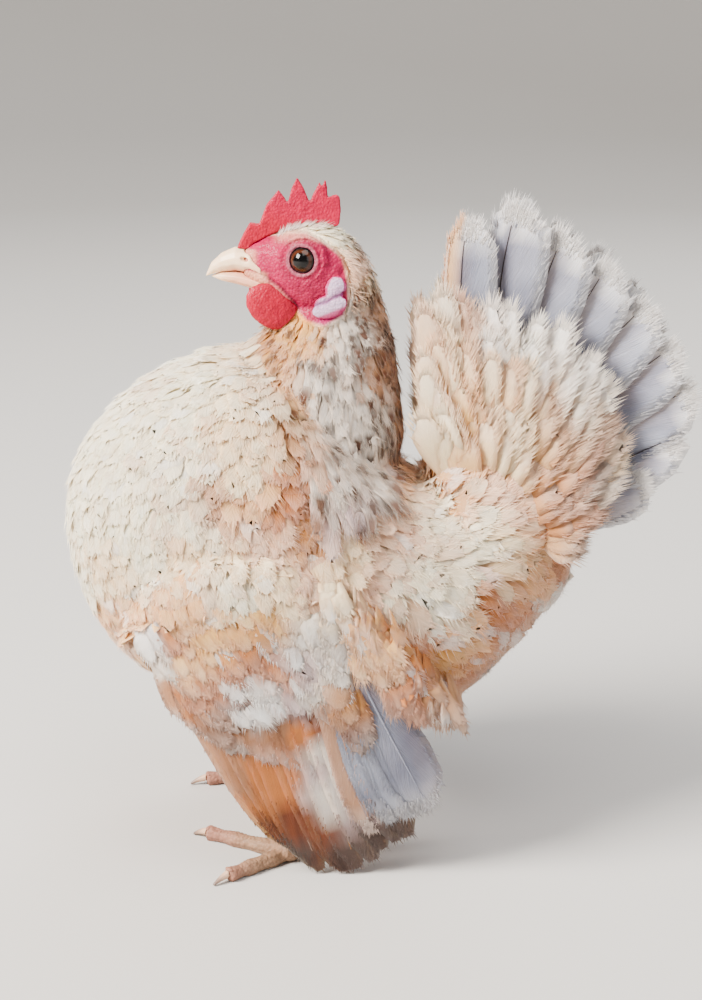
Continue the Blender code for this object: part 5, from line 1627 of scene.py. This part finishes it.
def scute_tree():
    """Overlapping plates along polylines: each is a flat rounded scale laid across the toe."""
    tree = bpy.data.node_groups.new("scutes_along_toes", "GeometryNodeTree")
    tree.interface.new_socket("Geometry", in_out="INPUT", socket_type="NodeSocketGeometry")
    kinds = {name: "NodeSocketFloat" for name in SCUTE_SIZES}
    kinds["Finish"] = "NodeSocketMaterial"
    keys = {name: tree.interface.new_socket(name, in_out="INPUT", socket_type=kind).identifier
            for name, kind in kinds.items()}
    tree.interface.new_socket("Geometry", in_out="OUTPUT", socket_type="NodeSocketGeometry")
    nodes, links = tree.nodes, tree.links
    given = nodes.new("NodeGroupInput")
    result = nodes.new("NodeGroupOutput")
    curve = nodes.new("GeometryNodeMeshToCurve")
    links.new(given.outputs["Geometry"], curve.inputs["Mesh"])
    even = nodes.new("GeometryNodeResampleCurve")
    even.mode = "LENGTH"
    links.new(curve.outputs["Curve"], even.inputs["Curve"])
    links.new(given.outputs["Spacing"], even.inputs["Length"])
    plate = nodes.new("GeometryNodeMeshUVSphere")
    plate.inputs["Segments"].default_value = 12
    plate.inputs["Rings"].default_value = 6
    plate.inputs["Radius"].default_value = 1.0
    size = nodes.new("ShaderNodeCombineXYZ")
    links.new(given.outputs["Length"], size.inputs["X"])
    wide = nodes.new("GeometryNodeInputNamedAttribute")
    wide.data_type = "FLOAT"
    wide.inputs["Name"].default_value = "plate"
    links.new(wide.outputs["Attribute"], size.inputs["Y"])
    links.new(given.outputs["Thickness"], size.inputs["Z"])
    tangent = nodes.new("GeometryNodeInputTangent")
    face = nodes.new("FunctionNodeAlignRotationToVector")
    face.axis = "X"
    links.new(tangent.outputs["Tangent"], face.inputs["Vector"])
    stand = nodes.new("FunctionNodeAlignRotationToVector")
    stand.axis = "Z"
    stand.pivot_axis = "X"
    up = nodes.new("GeometryNodeInputNamedAttribute")
    up.data_type = "FLOAT_VECTOR"
    up.inputs["Name"].default_value = "up"
    links.new(up.outputs["Attribute"], stand.inputs["Vector"])
    links.new(face.outputs["Rotation"], stand.inputs["Rotation"])
    each = nodes.new("GeometryNodeInstanceOnPoints")
    links.new(even.outputs["Curve"], each.inputs["Points"])
    links.new(plate.outputs["Mesh"], each.inputs["Instance"])
    links.new(stand.outputs["Rotation"], each.inputs["Rotation"])
    links.new(size.outputs["Vector"], each.inputs["Scale"])
    real = nodes.new("GeometryNodeRealizeInstances")
    links.new(each.outputs["Instances"], real.inputs["Geometry"])
    dress = nodes.new("GeometryNodeSetMaterial")
    links.new(real.outputs["Geometry"], dress.inputs["Geometry"])
    links.new(given.outputs["Finish"], dress.inputs["Material"])
    links.new(dress.outputs["Geometry"], result.inputs["Geometry"])
    return tree, keys


def scute_lines(side, turn):
    """Polylines over the toes and down the shank's front, with plate half widths and upward ways."""
    lines = []
    for name, inwards, length in TOES:
        heading = math.radians(inwards + (turn if name != "hind" else 0.0))
        way = np.array((-math.cos(heading), -side * math.sin(heading), 0.0))
        line = []
        for share in np.linspace(0.1, 1.0, 12):
            height = mix(ANKLE[2] - 1.2, 1.9, float(smooth_step(share, 0.0, 0.22)))
            joints = 3 if length > 15.0 else 2
            pad = 0.32 * math.cos(math.tau * joints * share)
            radius = mix(2.5, 2.0, share) + pad * (0.3 + 0.7 * share)
            spot = np.array((ANKLE[0], side * ANKLE[1], 0.0)) + way * length * share
            line.append((spot + (0, 0, height + radius * 0.72), radius * 0.72, (0.0, 0.0, 1.0)))
        lines.append(line)
    ankle, hock = np.array(ANKLE) * (1, side, 1), np.array(HOCK) * (1, side, 1)
    down = unit(ankle - hock)
    ahead = np.array((-1.0, 0.0, 0.0))
    front = unit(ahead - down * (ahead @ down))
    line = [(mix(hock, ankle, s) + front * 2.6, 2.3, tuple(front)) for s in np.linspace(0.1, 0.97, 12)]
    lines.append(line)
    return lines


def make_legs():
    """Skin, scutes and claws of each leg."""
    tree, keys = scute_tree()
    for name, side in SIDES.items():
        solids = (f"shank_{name}", f"foot_{name}")
        mesh = fused(f"leg_{name}", [node_copy(solid, 0.25) for solid in solids], 0.4, 4)
        points, normals = points_of(mesh), normals_of(mesh)
        points = points + normals * (clouds(points, 1.8, 19) * 0.12 - 0.1)[:, None]
        points[:, 2] = np.maximum(points[:, 2], 0.0)
        move_points(mesh, points)
        paint(mesh, leg_paint(points))
        finish_object(f"leg_skin_{name}", mesh, "leg", solids)
        corners, edges, widths, ups = [], [], [], []
        for line in scute_lines(side, FOOT_TURN[name]):
            for i, (spot, wide, up) in enumerate(line):
                if i:
                    edges.append((len(corners) - 1, len(corners)))
                corners.append(tuple(spot * MM))
                widths.append(wide * MM)
                ups.append(up)
        guide = bpy.data.meshes.new("toe_lines")
        guide.from_pydata(corners, edges, [])
        guide.attributes.new("plate", "FLOAT", "POINT").data.foreach_set("value", widths)
        upward = guide.attributes.new("up", "FLOAT_VECTOR", "POINT")
        upward.data.foreach_set("vector", np.array(ups).ravel())
        holder = placed("toe_lines", guide)
        dress = holder.modifiers.new("scutes", "NODES")
        dress.node_group = tree
        for key, size in SCUTE_SIZES.items():
            dress[keys[key]] = size * MM
        dress[keys["Finish"]] = FINISHES["leg"]
        plates = evaluated_mesh(holder)
        bpy.data.objects.remove(holder)
        for spare in [a.name for a in plates.attributes if a.name in ("plate", "up")]:
            plates.attributes.remove(plates.attributes[spare])
        tones = leg_paint(points_of(plates)) * 1.06
        paint(plates, np.clip(tones, 0, 0.95))
        finish_object(f"scutes_{name}", plates, "leg")
        for toe, _, _ in TOES:
            node = f"claw_{name}_{toe}"
            mesh = fused(node, [node_copy(node, 0.08)], 0.22, 2)
            points = points_of(mesh)
            points[:, 2] = np.maximum(points[:, 2], 0.0)
            move_points(mesh, points)
            paint(mesh, claw_paint(points))
            finish_object(f"nail_{name}_{toe}", mesh, "claw", (node,))


# stage


def make_floor():
    """A pale floor that curves up far away on every side, so that no edge shows."""
    count = 96
    points, faces = [(0.0, 0.0, 0.0)], []
    for radius, height in FLOOR_PROFILE:
        for k in range(count):
            a = math.tau * k / count
            points.append((math.cos(a) * radius, math.sin(a) * radius, height))
    for k in range(count):
        n = (k + 1) % count
        faces.append((0, 1 + k, 1 + n))
        for r in range(len(FLOOR_PROFILE) - 1):
            near, far = 1 + r * count, 1 + (r + 1) * count
            faces.append((near + k, far + k, far + n, near + n))
    mesh = bpy.data.meshes.new("floor")
    mesh.from_pydata(points, [], faces)
    mesh.shade_smooth()
    finish, _, _, shader = new_material("floor_pale")
    shader.inputs["Base Color"].default_value = FLOOR_COLOUR
    shader.inputs["Roughness"].default_value = 0.8
    mesh.materials.append(finish)
    placed("floor", mesh)


def add_light(name, place, target, size, power, colour):
    lamp = bpy.data.lights.new(name, "AREA")
    lamp.energy = power
    lamp.size = size
    lamp.color = colour
    holder = placed(name, lamp)
    holder.location = place
    holder.rotation_euler = (Vector(target) - Vector(place)).to_track_quat("-Z", "Y").to_euler()


def make_studio():
    """Soft lamps, a pale room and the camera that matches the photograph's view."""
    for lamp in LAMPS:
        add_light(*lamp)
    world = bpy.data.worlds.new("studio")
    bpy.context.scene.world = world
    world.use_nodes = True
    room = world.node_tree.nodes["Background"]
    room.inputs["Color"].default_value = ROOM_COLOUR
    room.inputs["Strength"].default_value = ROOM_STRENGTH
    lens = bpy.data.cameras.new("camera")
    lens.lens = CAMERA_LENS
    lens.sensor_width = CAMERA_SENSOR
    holder = placed("camera", lens)
    holder.location = CAMERA_PLACE
    holder.rotation_euler = (CAMERA_TILT, 0.0, 0.0)
    bpy.context.scene.camera = holder


make_coat()
make_wings()
make_tail()
make_bristles()
make_fleshy("comb", 0.3, "comb", comb_paint, 0.08)
for side_name in SIDES:
    make_fleshy(f"wattle_{side_name}", 0.25, "comb", wattle_paint, 0.07)
    make_fleshy(f"earlobe_{side_name}", 0.22, "lobe", lobe_paint, 0.12, 0.5, lobe_fold)
make_eyes()
make_beak()
make_legs()
make_floor()
make_studio()
